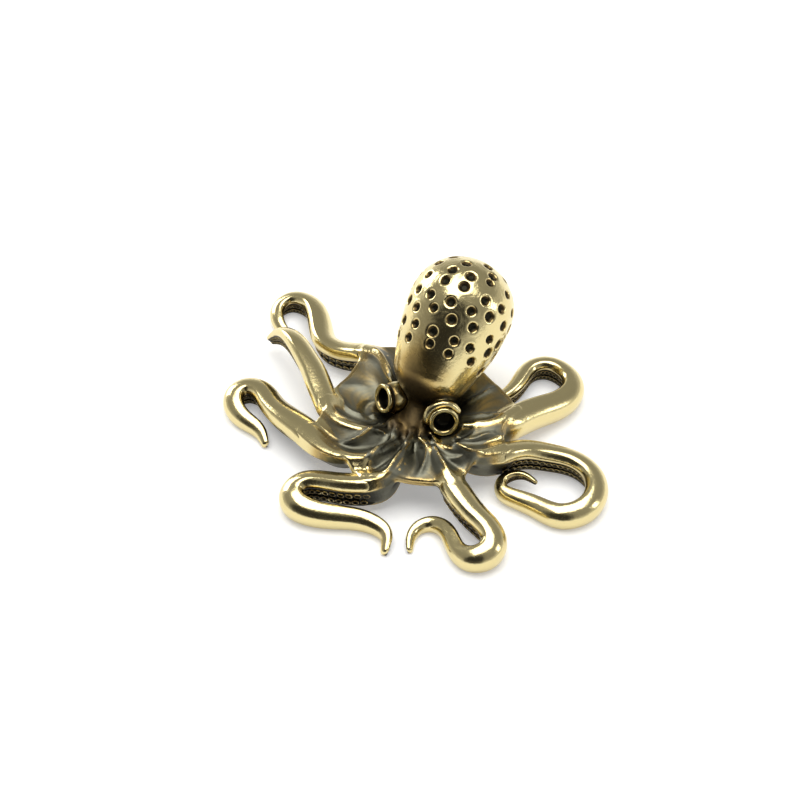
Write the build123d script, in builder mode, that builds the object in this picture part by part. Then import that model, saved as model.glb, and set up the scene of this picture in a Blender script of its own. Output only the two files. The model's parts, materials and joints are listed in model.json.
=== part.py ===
from build123d import *
import math
import os

# Octopus figurine in cast brass, in millimetres. +Z is up, the face looks towards -Y, and the
# origin is on the surface that it stands on, under the middle of its footprint.

# Body axis: the arms, the web and the head are set out from it
AXIS_X = 1.0
AXIS_Y = -1.8

# Arms: an arm's section is rounded on the back, flat on the sucker side and has a narrow flat
# foot. Its width lies across the curl and its depth stands up. Where an arm lies on the ground
# its foot is linished flat.
ROOT_WIDTH = 3.9
ROOT_DEPTH = 5.0
ROOT_LIFT = 2.0
FOOT_LINISH = 0.1
CROWN_SHARE = 0.25
FOOT_SHARE = 0.1
LIP_SHARE = 0.25
TIP_SHARE = 0.55
TIP_LENGTH = 0.35
SPAN_TURN = 48.0
BACK_FLAT_COUNT = 3

# Square tenon at each arm's root, and the clearance of every socket
TENON_WIDTH = 1.6
TENON_LENGTH = 2.0
FIT_CLEARANCE = 0.05

# Web: a skirt that flares down from the head, cut in a scallop between each pair of arms
NOTCH_SHARE = 0.9
WEB_EDGE = 3.8
WEB_EDGE_RADIUS = 16.0
WEB_SHOULDER = 4.7
WEB_SHOULDER_RADIUS = 8.0
WEB_TOP = 7.4
WEB_TOP_RADIUS = 3.6
WEB_WALL = 0.9
WEB_MARGIN = 0.3
ROOM_ROW_COUNT = 2

# Head: it narrows from the mantle's neck to a waist between the eyes, and spreads again over the
# mouth's disc, where the arms' ribs meet
WAIST_DIAMETER = 6.0
WAIST_BACK = 2.4
WAIST_HEIGHT = 6.8
MOUTH_DIAMETER = 9.6
MOUTH_HEIGHT = 2.4

# Mantle: an egg on a tilted axis, with a square spigot in the head
NECK_DIAMETER = 9.8
NECK_BACK = 3.4
NECK_HEIGHT = 8.4
MANTLE_DIAMETER = 13.8
MANTLE_LENGTH = 16.6
MANTLE_TILT = 50.0
MANTLE_LEAN = 4.0
SPIGOT_WIDTH = 3.0
SPIGOT_LENGTH = 2.0

# Mantle's turned profile in bands from the neck to the crown: a band's end, of half of
# MANTLE_DIAMETER and of MANTLE_LENGTH
MANTLE_BANDS = [
    (0.835, 0.157), (0.916, 0.286), (0.971, 0.413), (0.998, 0.536), (0.984, 0.663),
    (0.889, 0.783), (0.704, 0.886), (0.466, 0.955), (0.246, 0.988), (0, 1),
]

# Pits in the mantle, in staggered rings. A ring's row is its height, of MANTLE_LENGTH, its radius,
# of half of MANTLE_DIAMETER, how far its pits point up the axis, in degrees, and how many it has.
PIT_DIAMETER = 1.4
PIT_DEPTH = 0.34
PIT_CLEAR = 0.3
PIT_SIDE_COUNT = 5
PIT_RINGS = [
    (0.225, 0.878, -15, 12),
    (0.350, 0.944, -10, 14),
    (0.475, 0.985, -5, 15),
    (0.600, 0.991, 3, 15),
    (0.725, 0.935, 18, 14),
    (0.835, 0.796, 37, 12),
    (0.920, 0.587, 55, 8),
    (0.972, 0.350, 70, 4),
]

# Folds of the web: a fold's height over the web and half its width, and then its crest's places
# from the body axis
FOLD_SINK = 0.4
FOLDS = [
    (1.0, 0.7, [(-0.9, -3.4), (-0.5, -5.4), (-0.5, -8.4), (-0.8, -11.4)]),
    (1.0, 0.7, [(1.4, -3.2), (2.2, -6.0), (2.2, -9.0), (2.2, -11.4)]),
    (0.9, 0.6, [(-2.8, -3.4), (-3.1, -5.9), (-4.4, -8.4), (-6.2, -9.6)]),
    (0.6, 0.6, [(-4.0, -3.2), (-5.0, -5.4), (-7.0, -6.0), (-9.2, -5.2)]),
    (0.9, 0.6, [(4.4, -3.4), (5.6, -5.6), (7.2, -7.0), (8.6, -7.9)]),
    (1.0, 0.7, [(5.3, -1.2), (6.6, -3.2), (8.2, -4.2), (9.8, -4.2)]),
    (0.6, 0.6, [(6.4, -0.9), (7.8, -1.4), (9.0, -0.8), (10.0, 0.2)]),
]

# Eye tubes: short open barrels that look forward, outward and a little up
EYE_DIAMETER = 4.2
EYE_MOUTH_DIAMETER = 3.7
EYE_LENGTH = 3.3
EYE_BORE = 2.4
EYE_BORE_DEPTH = 1.6
EYE_PEG_WIDTH = 1.0
EYE_PEG_LENGTH = 0.8
EYE_SPREAD = 4.5
EYE_FORWARD = 0.9
EYE_HEIGHT = 6.4
EYE_TURN = 34.0
EYE_RISE = 18.0

# Arms in order round the body from the face: bearing of the root in degrees from +X, reach from
# the body axis, side of the curl (+1 is anticlockwise from above), and how far the sucker side
# turns down at the root, in degrees. The route's rows are shares: out along the bearing and to
# the left of it, both of the reach, then the underside's lift, of ROOT_LIFT, and the girth, of
# ROOT_WIDTH and ROOT_DEPTH. The rows before BODY_ROW_COUNT lie in the body,
# and the joint is at that row.
ARMS = {
    "arm_front_left": dict(
        bearing=-84, reach=20.0, curl=1, bank=0,
        route_shares=[
            (0.30, 0.05, 2.10, 0.50), (0.46, 0.08, 1.50, 0.70), (0.59, 0.04, 0.95, 0.87),
            (0.66, -0.09, 0.60, 0.94), (0.69, -0.24, 0.40, 0.91), (0.70, -0.39, 0.20, 0.87),
            (0.73, -0.47, 0.10, 0.85), (0.80, -0.51, 0.00, 0.83), (0.88, -0.48, 0.00, 0.80),
            (0.91, -0.40, 0.00, 0.75), (0.87, -0.17, 0.00, 0.64), (0.83, 0.03, 0.00, 0.55),
            (0.87, 0.15, 0.00, 0.44), (0.98, 0.19, 0.00, 0.26),
        ],
    ),
    "arm_front_right": dict(
        bearing=-40, reach=23.0, curl=-1, bank=10,
        route_shares=[
            (0.22, -0.06, 2.20, 0.50), (0.34, -0.04, 1.60, 0.70), (0.46, -0.02, 1.00, 0.88),
            (0.58, 0.00, 0.60, 0.98), (0.74, 0.04, 0.25, 0.92), (0.86, 0.08, 0.10, 0.87),
            (0.95, 0.07, 0.00, 0.83), (1.00, 0.00, 0.00, 0.76), (0.98, -0.08, 0.00, 0.67),
            (0.90, -0.12, 0.00, 0.57), (0.80, -0.12, 0.10, 0.52), (0.71, -0.13, 0.10, 0.47),
            (0.65, -0.18, 0.00, 0.42), (0.65, -0.25, 0.00, 0.37), (0.70, -0.31, 0.00, 0.31),
            (0.76, -0.34, 0.00, 0.22),
        ],
    ),
    "arm_right_front": dict(
        bearing=-10, reach=25.5, curl=-1, bank=10,
        route_shares=[
            (0.17, -0.13, 2.20, 0.50), (0.31, -0.12, 1.65, 0.70), (0.43, -0.05, 1.10, 0.87),
            (0.50, 0.08, 0.70, 0.92), (0.56, 0.19, 0.40, 0.88), (0.65, 0.26, 0.20, 0.84),
            (0.76, 0.31, 0.10, 0.80), (0.88, 0.30, 0.00, 0.78), (0.97, 0.21, 0.00, 0.75),
            (0.98, 0.08, 0.00, 0.71), (0.91, -0.01, 0.00, 0.66), (0.78, -0.03, 0.00, 0.59),
            (0.66, -0.05, 0.10, 0.51), (0.58, -0.05, 0.25, 0.44), (0.55, -0.01, 0.45, 0.38),
            (0.57, 0.05, 0.70, 0.32), (0.62, 0.08, 0.90, 0.25), (0.69, 0.08, 1.00, 0.16),
        ],
    ),
    "arm_right_rear": dict(
        bearing=20, reach=22.0, curl=1, bank=0,
        route_shares=[
            (0.18, -0.12, 2.10, 0.48), (0.32, -0.11, 1.65, 0.66), (0.47, -0.05, 1.20, 0.82),
            (0.60, 0.09, 0.80, 0.88), (0.72, 0.22, 0.45, 0.84), (0.82, 0.32, 0.20, 0.80),
            (0.88, 0.42, 0.10, 0.78), (0.88, 0.54, 0.00, 0.76), (0.81, 0.63, 0.00, 0.74),
            (0.71, 0.66, 0.10, 0.71), (0.62, 0.62, 0.10, 0.68), (0.57, 0.52, 0.10, 0.65),
            (0.52, 0.41, 0.10, 0.60), (0.45, 0.35, 0.10, 0.54), (0.36, 0.35, 0.15, 0.44),
            (0.28, 0.41, 0.25, 0.28),
        ],
    ),
    "arm_back": dict(
        bearing=94, reach=24.0, curl=1, bank=0,
        route_shares=[
            (0.16, -0.05, 1.70, 0.45), (0.30, -0.04, 1.35, 0.58), (0.44, -0.02, 1.00, 0.74),
            (0.58, 0.00, 0.60, 0.90), (0.72, 0.01, 0.30, 0.85), (0.85, 0.04, 0.10, 0.79),
            (0.94, 0.10, 0.00, 0.74), (0.97, 0.19, 0.00, 0.67), (0.92, 0.27, 0.00, 0.59),
            (0.84, 0.28, 0.00, 0.51), (0.78, 0.23, 0.00, 0.42), (0.78, 0.16, 0.00, 0.28),
        ],
    ),
    "arm_back_left": dict(
        bearing=146, reach=31.0, curl=1, bank=20,
        route_shares=[
            (0.14, 0.01, 2.10, 0.50), (0.23, 0.00, 1.70, 0.68), (0.34, -0.01, 1.30, 0.85),
            (0.44, 0.02, 0.75, 0.92), (0.52, 0.07, 0.30, 0.89), (0.61, 0.11, 0.10, 0.86),
            (0.73, 0.09, 0.00, 0.84), (0.83, 0.06, 0.00, 0.81), (0.92, 0.06, 0.00, 0.74),
            (0.99, 0.12, 0.00, 0.64), (0.98, 0.18, 0.00, 0.54), (0.91, 0.22, 0.00, 0.45),
            (0.84, 0.22, 0.00, 0.35), (0.78, 0.20, 0.00, 0.24),
        ],
    ),
    "arm_left_rear": dict(
        bearing=-150, reach=26.0, curl=1, bank=35,
        route_shares=[
            (0.16, 0.10, 2.10, 0.48), (0.28, 0.11, 1.75, 0.64), (0.38, 0.05, 1.35, 0.80),
            (0.44, -0.09, 1.20, 0.85), (0.48, -0.21, 1.30, 0.87), (0.51, -0.30, 1.45, 0.86),
            (0.55, -0.39, 1.65, 0.82), (0.60, -0.50, 1.75, 0.76), (0.65, -0.59, 1.55, 0.64),
            (0.70, -0.65, 1.15, 0.45), (0.74, -0.68, 0.75, 0.28),
        ],
    ),
    "arm_left_front": dict(
        bearing=-120, reach=24.5, curl=1, bank=40,
        route_shares=[
            (0.20, 0.09, 2.10, 0.50), (0.36, 0.13, 1.45, 0.72), (0.48, 0.03, 0.80, 0.92),
            (0.53, -0.22, 0.30, 1.03), (0.56, -0.39, 0.10, 0.99), (0.57, -0.55, 0.00, 0.89),
            (0.57, -0.67, 0.00, 0.84), (0.62, -0.74, 0.00, 0.79), (0.69, -0.74, 0.00, 0.74),
            (0.74, -0.67, 0.00, 0.66), (0.73, -0.56, 0.00, 0.54), (0.70, -0.46, 0.00, 0.42),
            (0.71, -0.38, 0.00, 0.26),
        ],
    ),
}

BODY_ROW_COUNT = 3
UP = Vector(0, 0, 1)
body_axis = Vector(AXIS_X, AXIS_Y, 0)


def body_point(x, y, z):
    return body_axis + Vector(x, y, z)


# How far the sucker side turns down at a row: all of it at the root and none at the tip
def row_bank(arm, row):
    return math.radians(arm["bank"]) * (1 - row / (len(arm["route_shares"]) - 1)) ** 2


# Points of an arm's centreline, each over its underside by what the banked section needs
def route_points(arm):
    angle = math.radians(arm["bearing"])
    out = Vector(math.cos(angle), math.sin(angle), 0)
    left = UP.cross(out)
    points = []
    for row, (out_share, left_share, lift_share, girth_share) in enumerate(arm["route_shares"]):
        bank = row_bank(arm, row)
        below = ROOT_DEPTH / 2 * math.cos(bank) + ROOT_WIDTH * CROWN_SHARE * math.sin(bank)
        place = out * (out_share * arm["reach"]) + left * (left_share * arm["reach"])
        underside = ROOT_LIFT * lift_share - FOOT_LINISH
        points.append(body_axis + place + UP * (underside + below * girth_share))
    return points


# The section's plane at a point of the centreline: x points to the sucker side and y up, so z
# runs against the arm where it curls clockwise
def section_plane(arm, origin, tangent, bank):
    inward = (UP.cross(tangent) * arm["curl"]).normalized()
    upward = (UP - tangent * UP.dot(tangent)).normalized()
    sucker_side = inward * math.cos(bank) - upward * math.sin(bank)
    return Plane(origin=origin, x_dir=sucker_side, z_dir=tangent * arm["curl"])


# One section: two quarter ellipses round the back, worked in flats, the foot, the sucker face
# and its upper lip
def arm_section(plane, girth):
    width = ROOT_WIDTH * girth
    depth = ROOT_DEPTH * girth
    crown = width * CROWN_SHARE
    foot = width * FOOT_SHARE
    face = width / 2
    corners = [(crown, depth / 2)]
    for flat in range(1, BACK_FLAT_COUNT):
        angle = math.radians(90 * flat / BACK_FLAT_COUNT)
        corners.append((crown - (crown + face) * math.sin(angle), depth / 2 * math.cos(angle)))
    corners.append((-face, 0))
    for flat in range(1, BACK_FLAT_COUNT):
        angle = math.radians(90 * flat / BACK_FLAT_COUNT)
        corners.append((-foot - (face - foot) * math.cos(angle), -depth / 2 * math.sin(angle)))
    corners += [(-foot, -depth / 2), (crown, -depth / 2), (face, depth * LIP_SHARE)]
    with BuildSketch(plane) as section:
        with BuildLine():
            Polyline(corners, close=True)
        make_face()
    return section.sketch


# Planes and girths of the sections between two rows of an arm's route. A stretch between rows has
# one span for each SPAN_TURN degrees, or part of that, that it turns.
def arm_sections(arm, first_row, last_row):
    points = route_points(arm)
    girths = [row[3] for row in arm["route_shares"]]
    line = Spline(*points, mode=Mode.PRIVATE)
    marks = [line.param_at_point(point) for point in points]
    places = [(marks[first_row], girths[first_row], first_row)]
    for row in range(first_row, last_row):
        turn = (line % marks[row]).get_angle(line % marks[row + 1])
        spans = math.ceil(max(turn, 1) / SPAN_TURN)
        for span in range(1, spans + 1):
            part = span / spans
            mark = marks[row] + (marks[row + 1] - marks[row]) * part
            girth = girths[row] + (girths[row + 1] - girths[row]) * part
            places.append((mark, girth, row + part))
    return [(section_plane(arm, line @ m, line % m, row_bank(arm, r)), g) for m, g, r in places]


# The joint's plane, with z out along the arm
def joint_plane(arm):
    plane, girth = arm_sections(arm, BODY_ROW_COUNT, BODY_ROW_COUNT)[0]
    return Plane(origin=plane.origin, x_dir=plane.x_dir, z_dir=plane.z_dir * arm["curl"])


joint_planes = {arm_name: joint_plane(arm) for arm_name, arm in ARMS.items()}

# Arms: a loft along the route, with a blunt tip and the tenon at the root
arm_parts = {}
for arm_name, arm in ARMS.items():
    sections = arm_sections(arm, BODY_ROW_COUNT, len(arm["route_shares"]) - 1)
    tip_plane, tip_girth = sections[-1]
    sections.append((tip_plane.offset(TIP_LENGTH * arm["curl"]), tip_girth * TIP_SHARE))
    with BuildPart() as arm_build:
        loft([arm_section(plane, girth) for plane, girth in sections], ruled=True)
        split(bisect_by=Plane.XY, keep=Keep.TOP)
        with BuildSketch(joint_planes[arm_name]):
            Rectangle(TENON_WIDTH, TENON_WIDTH)
        extrude(amount=-TENON_LENGTH)
    arm_build.part.label = arm_name
    arm_parts[arm_name] = arm_build.part

# Foot of one side of a root, just inside the joint: +1 is its left as seen from the body
def root_side(arm_name, side):
    root = joint_planes[arm_name]
    ahead = Vector(root.z_dir.X, root.z_dir.Y, 0).normalized()
    girth = ARMS[arm_name]["route_shares"][BODY_ROW_COUNT][3]
    half_width = ROOT_WIDTH * girth / 2
    place = root.origin - ahead * WEB_MARGIN + UP.cross(ahead) * side * (half_width - WEB_MARGIN)
    return Vector(place.X, place.Y, 0)


def root_place(arm_name):
    place = joint_planes[arm_name].origin - body_axis
    return Vector(place.X, place.Y, 0)


def root_bearing(arm_name):
    place = root_place(arm_name)
    return math.atan2(place.Y, place.X)


# Room for an arm beside the web, a little larger all round than the arm's first stretches
def arm_room(arm):
    grown = 1 + 2 * FIT_CLEARANCE / ROOT_WIDTH
    with BuildPart() as room:
        stretch = arm_sections(arm, BODY_ROW_COUNT, BODY_ROW_COUNT + ROOM_ROW_COUNT)
        loft([arm_section(plane, girth * grown) for plane, girth in stretch], ruled=True)
    return room.part


# Web: two cones over a flat-bottomed skirt, trimmed to an outline with an arc between each pair
# of roots
ring = sorted(ARMS, key=root_bearing)
with BuildPart() as web:
    with BuildSketch():
        with BuildLine():
            arcs = []
            for i, arm_name in enumerate(ring):
                after = ring[(i + 1) % len(ring)]
                gap = (root_bearing(after) - root_bearing(arm_name)) % math.tau
                middle = root_bearing(arm_name) + gap / 2
                reach = NOTCH_SHARE * (root_place(arm_name).length + root_place(after).length) / 2
                notch = body_point(reach * math.cos(middle), reach * math.sin(middle), 0)
                arcs.append(ThreePointArc(root_side(arm_name, 1), notch, root_side(after, -1)))
            for i, arc in enumerate(arcs):
                Line(arcs[i - 1] @ 1, arc @ 0)
        make_face()
    extrude(amount=WEB_TOP)
    with BuildSketch(Plane(origin=body_axis, x_dir=(1, 0, 0), z_dir=(0, -1, 0))):
        Polygon(
            (0, WEB_TOP),
            (WEB_TOP_RADIUS, WEB_TOP),
            (WEB_SHOULDER_RADIUS, WEB_SHOULDER),
            (WEB_EDGE_RADIUS, WEB_EDGE),
            (WEB_EDGE_RADIUS, WEB_EDGE - WEB_WALL),
            (WEB_SHOULDER_RADIUS, WEB_SHOULDER - WEB_WALL),
            (0, WEB_SHOULDER - WEB_WALL),
            align=None,
        )
    revolve(axis=Axis(body_axis, (0, 0, 1)), mode=Mode.INTERSECT)
    for room in [arm_room(arm) for arm in ARMS.values()]:
        add(room, mode=Mode.SUBTRACT)

# Planes of the head: the neck, square to the mantle's axis, the waist and the mouth's disc
tilt = math.radians(MANTLE_TILT)
lean = math.radians(MANTLE_LEAN)
mantle_axis = Vector(
    math.sin(tilt) * math.sin(lean), math.sin(tilt) * math.cos(lean), math.cos(tilt)
)
neck_plane = Plane(origin=body_point(0, NECK_BACK, NECK_HEIGHT), x_dir=(1, 0, 0), z_dir=mantle_axis)
waist_plane = Plane(origin=body_point(0, WAIST_BACK, WAIST_HEIGHT), x_dir=(1, 0, 0),
                    z_dir=mantle_axis + UP)
mouth_plane = Plane(origin=body_point(0, 0, MOUTH_HEIGHT))

# Eyes: a tapered barrel with a bore in its mouth and a peg behind, on its own slanted plane
eye_planes = {}
for eye_name, side in (("eye_left", -1), ("eye_right", 1)):
    turn = math.radians(EYE_TURN)
    rise = math.radians(EYE_RISE)
    look = Vector(side * math.sin(turn) * math.cos(rise), -math.cos(turn) * math.cos(rise), math.sin(rise))
    mouth = body_point(side * EYE_SPREAD, -EYE_FORWARD, EYE_HEIGHT)
    eye_planes[eye_name] = Plane(origin=mouth - look * EYE_LENGTH, x_dir=UP.cross(look), z_dir=look)

eye_parts = {}
for eye_name, seat in eye_planes.items():
    with BuildPart() as eye:
        with BuildSketch(seat):
            Circle(EYE_DIAMETER / 2)
        with BuildSketch(seat.offset(EYE_LENGTH)):
            Circle(EYE_MOUTH_DIAMETER / 2)
        loft()
        with BuildSketch(seat.offset(EYE_LENGTH)):
            Circle(EYE_BORE / 2)
        extrude(amount=-EYE_BORE_DEPTH, mode=Mode.SUBTRACT)
        with BuildSketch(seat):
            Rectangle(EYE_PEG_WIDTH, EYE_PEG_WIDTH)
        extrude(amount=-EYE_PEG_LENGTH)
    eye.part.label = eye_name
    eye_parts[eye_name] = eye.part

# Head and web in one piece: the web, the eight stubs that run up to the head as ridges and the
# head over them, with a socket for each eye and arm and a seat for the mantle
stub_parts = []
for arm in ARMS.values():
    with BuildPart() as stub:
        loft([arm_section(p, g) for p, g in arm_sections(arm, 0, BODY_ROW_COUNT)], ruled=True)
    stub_parts.append(stub.part)

with BuildPart() as head:
    with BuildSketch(neck_plane):
        Circle(NECK_DIAMETER / 2)
    with BuildSketch(waist_plane):
        Circle(WAIST_DIAMETER / 2)
    with BuildSketch(mouth_plane):
        Circle(MOUTH_DIAMETER / 2)
    loft()


# Height of the web's upper side at a distance from the body axis
def web_height(radius):
    if radius < WEB_SHOULDER_RADIUS:
        share = max(0, (radius - WEB_TOP_RADIUS) / (WEB_SHOULDER_RADIUS - WEB_TOP_RADIUS))
        return WEB_TOP + (WEB_SHOULDER - WEB_TOP) * share
    share = (radius - WEB_SHOULDER_RADIUS) / (WEB_EDGE_RADIUS - WEB_SHOULDER_RADIUS)
    return WEB_SHOULDER + (WEB_EDGE - WEB_SHOULDER) * share


# Folds: a sharp ridge through each row of places, fading out at both ends
fold_parts = []
for height, half_width, places in FOLDS:
    crest = Spline(*[body_point(x, y, 0) for x, y in places], mode=Mode.PRIVATE)
    with BuildPart() as fold:
        sections = []
        for i, (x, y) in enumerate(places):
            mark = crest.param_at_point(body_point(x, y, 0))
            start = body_point(x, y, web_height(math.hypot(x, y)))
            rise = height if 0 < i < len(places) - 1 else height / 2
            section_seat = Plane(origin=start, x_dir=UP.cross(crest % mark), z_dir=crest % mark)
            with BuildSketch(section_seat) as section:
                Polygon((-half_width, -FOLD_SINK), (0, rise), (half_width, -FOLD_SINK), align=None)
            sections.append(section.sketch)
        loft(sections, ruled=True)
    fold_parts.append(fold.part)


# Mantle's turned shape in bands, larger all round by a clearance where the web is cut back for it
def turned_mantle(clearance):
    corners = [(0, 0), (NECK_DIAMETER / 2 + clearance, 0)]
    for radius_share, height_share in MANTLE_BANDS[:-1]:
        radius = radius_share * MANTLE_DIAMETER / 2 + clearance
        corners.append((radius, height_share * MANTLE_LENGTH))
    corners.append((0, MANTLE_LENGTH + clearance))
    with BuildPart() as turned:
        with BuildSketch(Plane(neck_plane.origin, x_dir=neck_plane.x_dir, z_dir=-neck_plane.y_dir)):
            Polygon(corners, align=None)
        revolve(axis=Axis(neck_plane.origin, neck_plane.z_dir))
    return turned.part


mantle_room = turned_mantle(FIT_CLEARANCE)

with BuildPart() as head_and_web:
    add(web.part)
    add(head.part)
    for stub_part in stub_parts + fold_parts:
        add(stub_part)
    add(mantle_room, mode=Mode.SUBTRACT)
    with BuildSketch(neck_plane):
        Rectangle(SPIGOT_WIDTH + 2 * FIT_CLEARANCE, SPIGOT_WIDTH + 2 * FIT_CLEARANCE)
    extrude(amount=-SPIGOT_LENGTH - FIT_CLEARANCE, mode=Mode.SUBTRACT)
    for seat in eye_planes.values():
        with BuildSketch(seat):
            Circle(EYE_DIAMETER / 2 + FIT_CLEARANCE)
        extrude(amount=2 * EYE_LENGTH, mode=Mode.SUBTRACT)
        with BuildSketch(seat):
            Rectangle(EYE_PEG_WIDTH + 2 * FIT_CLEARANCE, EYE_PEG_WIDTH + 2 * FIT_CLEARANCE)
        extrude(amount=-EYE_PEG_LENGTH - FIT_CLEARANCE, mode=Mode.SUBTRACT)
    for root in joint_planes.values():
        with BuildSketch(root):
            Rectangle(TENON_WIDTH + 2 * FIT_CLEARANCE, TENON_WIDTH + 2 * FIT_CLEARANCE)
        extrude(amount=-TENON_LENGTH - FIT_CLEARANCE, mode=Mode.SUBTRACT)
head_and_web.part.label = "head_and_web"

# Each pit's place, square to its band, and its flat-sided room, which starts clear of the surface
pit_planes = []
for ring_row, (height_share, radius_share, point_up, count) in enumerate(PIT_RINGS):
    for i in range(count):
        around = math.tau * (i + ring_row / 2) / count
        spoke = neck_plane.x_dir * math.cos(around) + neck_plane.y_dir * math.sin(around)
        point_angle = math.radians(point_up)
        out = spoke * math.cos(point_angle) + neck_plane.z_dir * math.sin(point_angle)
        middle = neck_plane.origin + spoke * (radius_share * MANTLE_DIAMETER / 2)
        middle += neck_plane.z_dir * (height_share * MANTLE_LENGTH)
        pit_planes.append(Plane(origin=middle, x_dir=spoke.cross(neck_plane.z_dir), z_dir=out))

pit_parts = []
for pit_plane in pit_planes:
    with BuildPart() as pit:
        with BuildSketch(pit_plane.offset(-PIT_DEPTH)):
            RegularPolygon(PIT_DIAMETER / 2, PIT_SIDE_COUNT)
        extrude(amount=PIT_DEPTH + PIT_CLEAR)
    pit_parts.append(pit.part)

with BuildPart() as mantle:
    add(turned_mantle(0))
    add(pit_parts, mode=Mode.SUBTRACT)
    with BuildSketch(neck_plane):
        Rectangle(SPIGOT_WIDTH, SPIGOT_WIDTH)
    extrude(amount=-SPIGOT_LENGTH)
mantle.part.label = "mantle"

os.makedirs("parts", exist_ok=True)
for part_name, part in {**arm_parts, **eye_parts}.items():
    export_step(part, f"parts/{part_name}.step")
export_step(head_and_web.part, "parts/head_and_web.step")
export_step(mantle.part, "parts/mantle.step")
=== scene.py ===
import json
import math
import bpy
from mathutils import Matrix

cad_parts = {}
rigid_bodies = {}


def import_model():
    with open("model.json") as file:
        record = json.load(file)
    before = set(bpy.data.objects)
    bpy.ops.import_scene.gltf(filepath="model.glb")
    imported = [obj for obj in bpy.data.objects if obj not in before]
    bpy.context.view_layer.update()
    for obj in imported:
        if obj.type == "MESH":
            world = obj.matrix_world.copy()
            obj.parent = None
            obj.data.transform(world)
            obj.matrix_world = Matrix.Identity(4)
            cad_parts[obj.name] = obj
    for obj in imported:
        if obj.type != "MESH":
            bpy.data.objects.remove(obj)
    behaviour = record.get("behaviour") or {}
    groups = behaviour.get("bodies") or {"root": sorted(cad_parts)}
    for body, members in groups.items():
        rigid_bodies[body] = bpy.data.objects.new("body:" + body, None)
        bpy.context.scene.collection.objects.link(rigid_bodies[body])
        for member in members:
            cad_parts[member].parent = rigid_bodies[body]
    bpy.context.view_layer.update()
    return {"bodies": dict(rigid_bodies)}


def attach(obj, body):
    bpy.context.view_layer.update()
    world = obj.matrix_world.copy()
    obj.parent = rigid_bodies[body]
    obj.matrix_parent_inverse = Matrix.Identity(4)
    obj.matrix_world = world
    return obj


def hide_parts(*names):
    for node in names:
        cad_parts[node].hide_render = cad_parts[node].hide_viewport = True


bl_info = {
    "name": "Octopus figurine",
    "version": (1, 0, 0),
    "blender": (4, 5, 0),
    "location": "3D View > Sidebar > Octopus",
    "description": "Cast brass octopus with a pitted mantle, curled arms and a ridged web",
    "category": "Object",
}

import bpy
import numpy as np
from mathutils import Matrix, Vector

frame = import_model()

MM = 0.001
BODY = next(iter(frame["bodies"]))
UP = np.array((0.0, 0.0, 1.0))

# Body axis on the floor, in millimetres: every place below is measured from it
AXIS = np.array((1.0, -1.8, 0.0))

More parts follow.
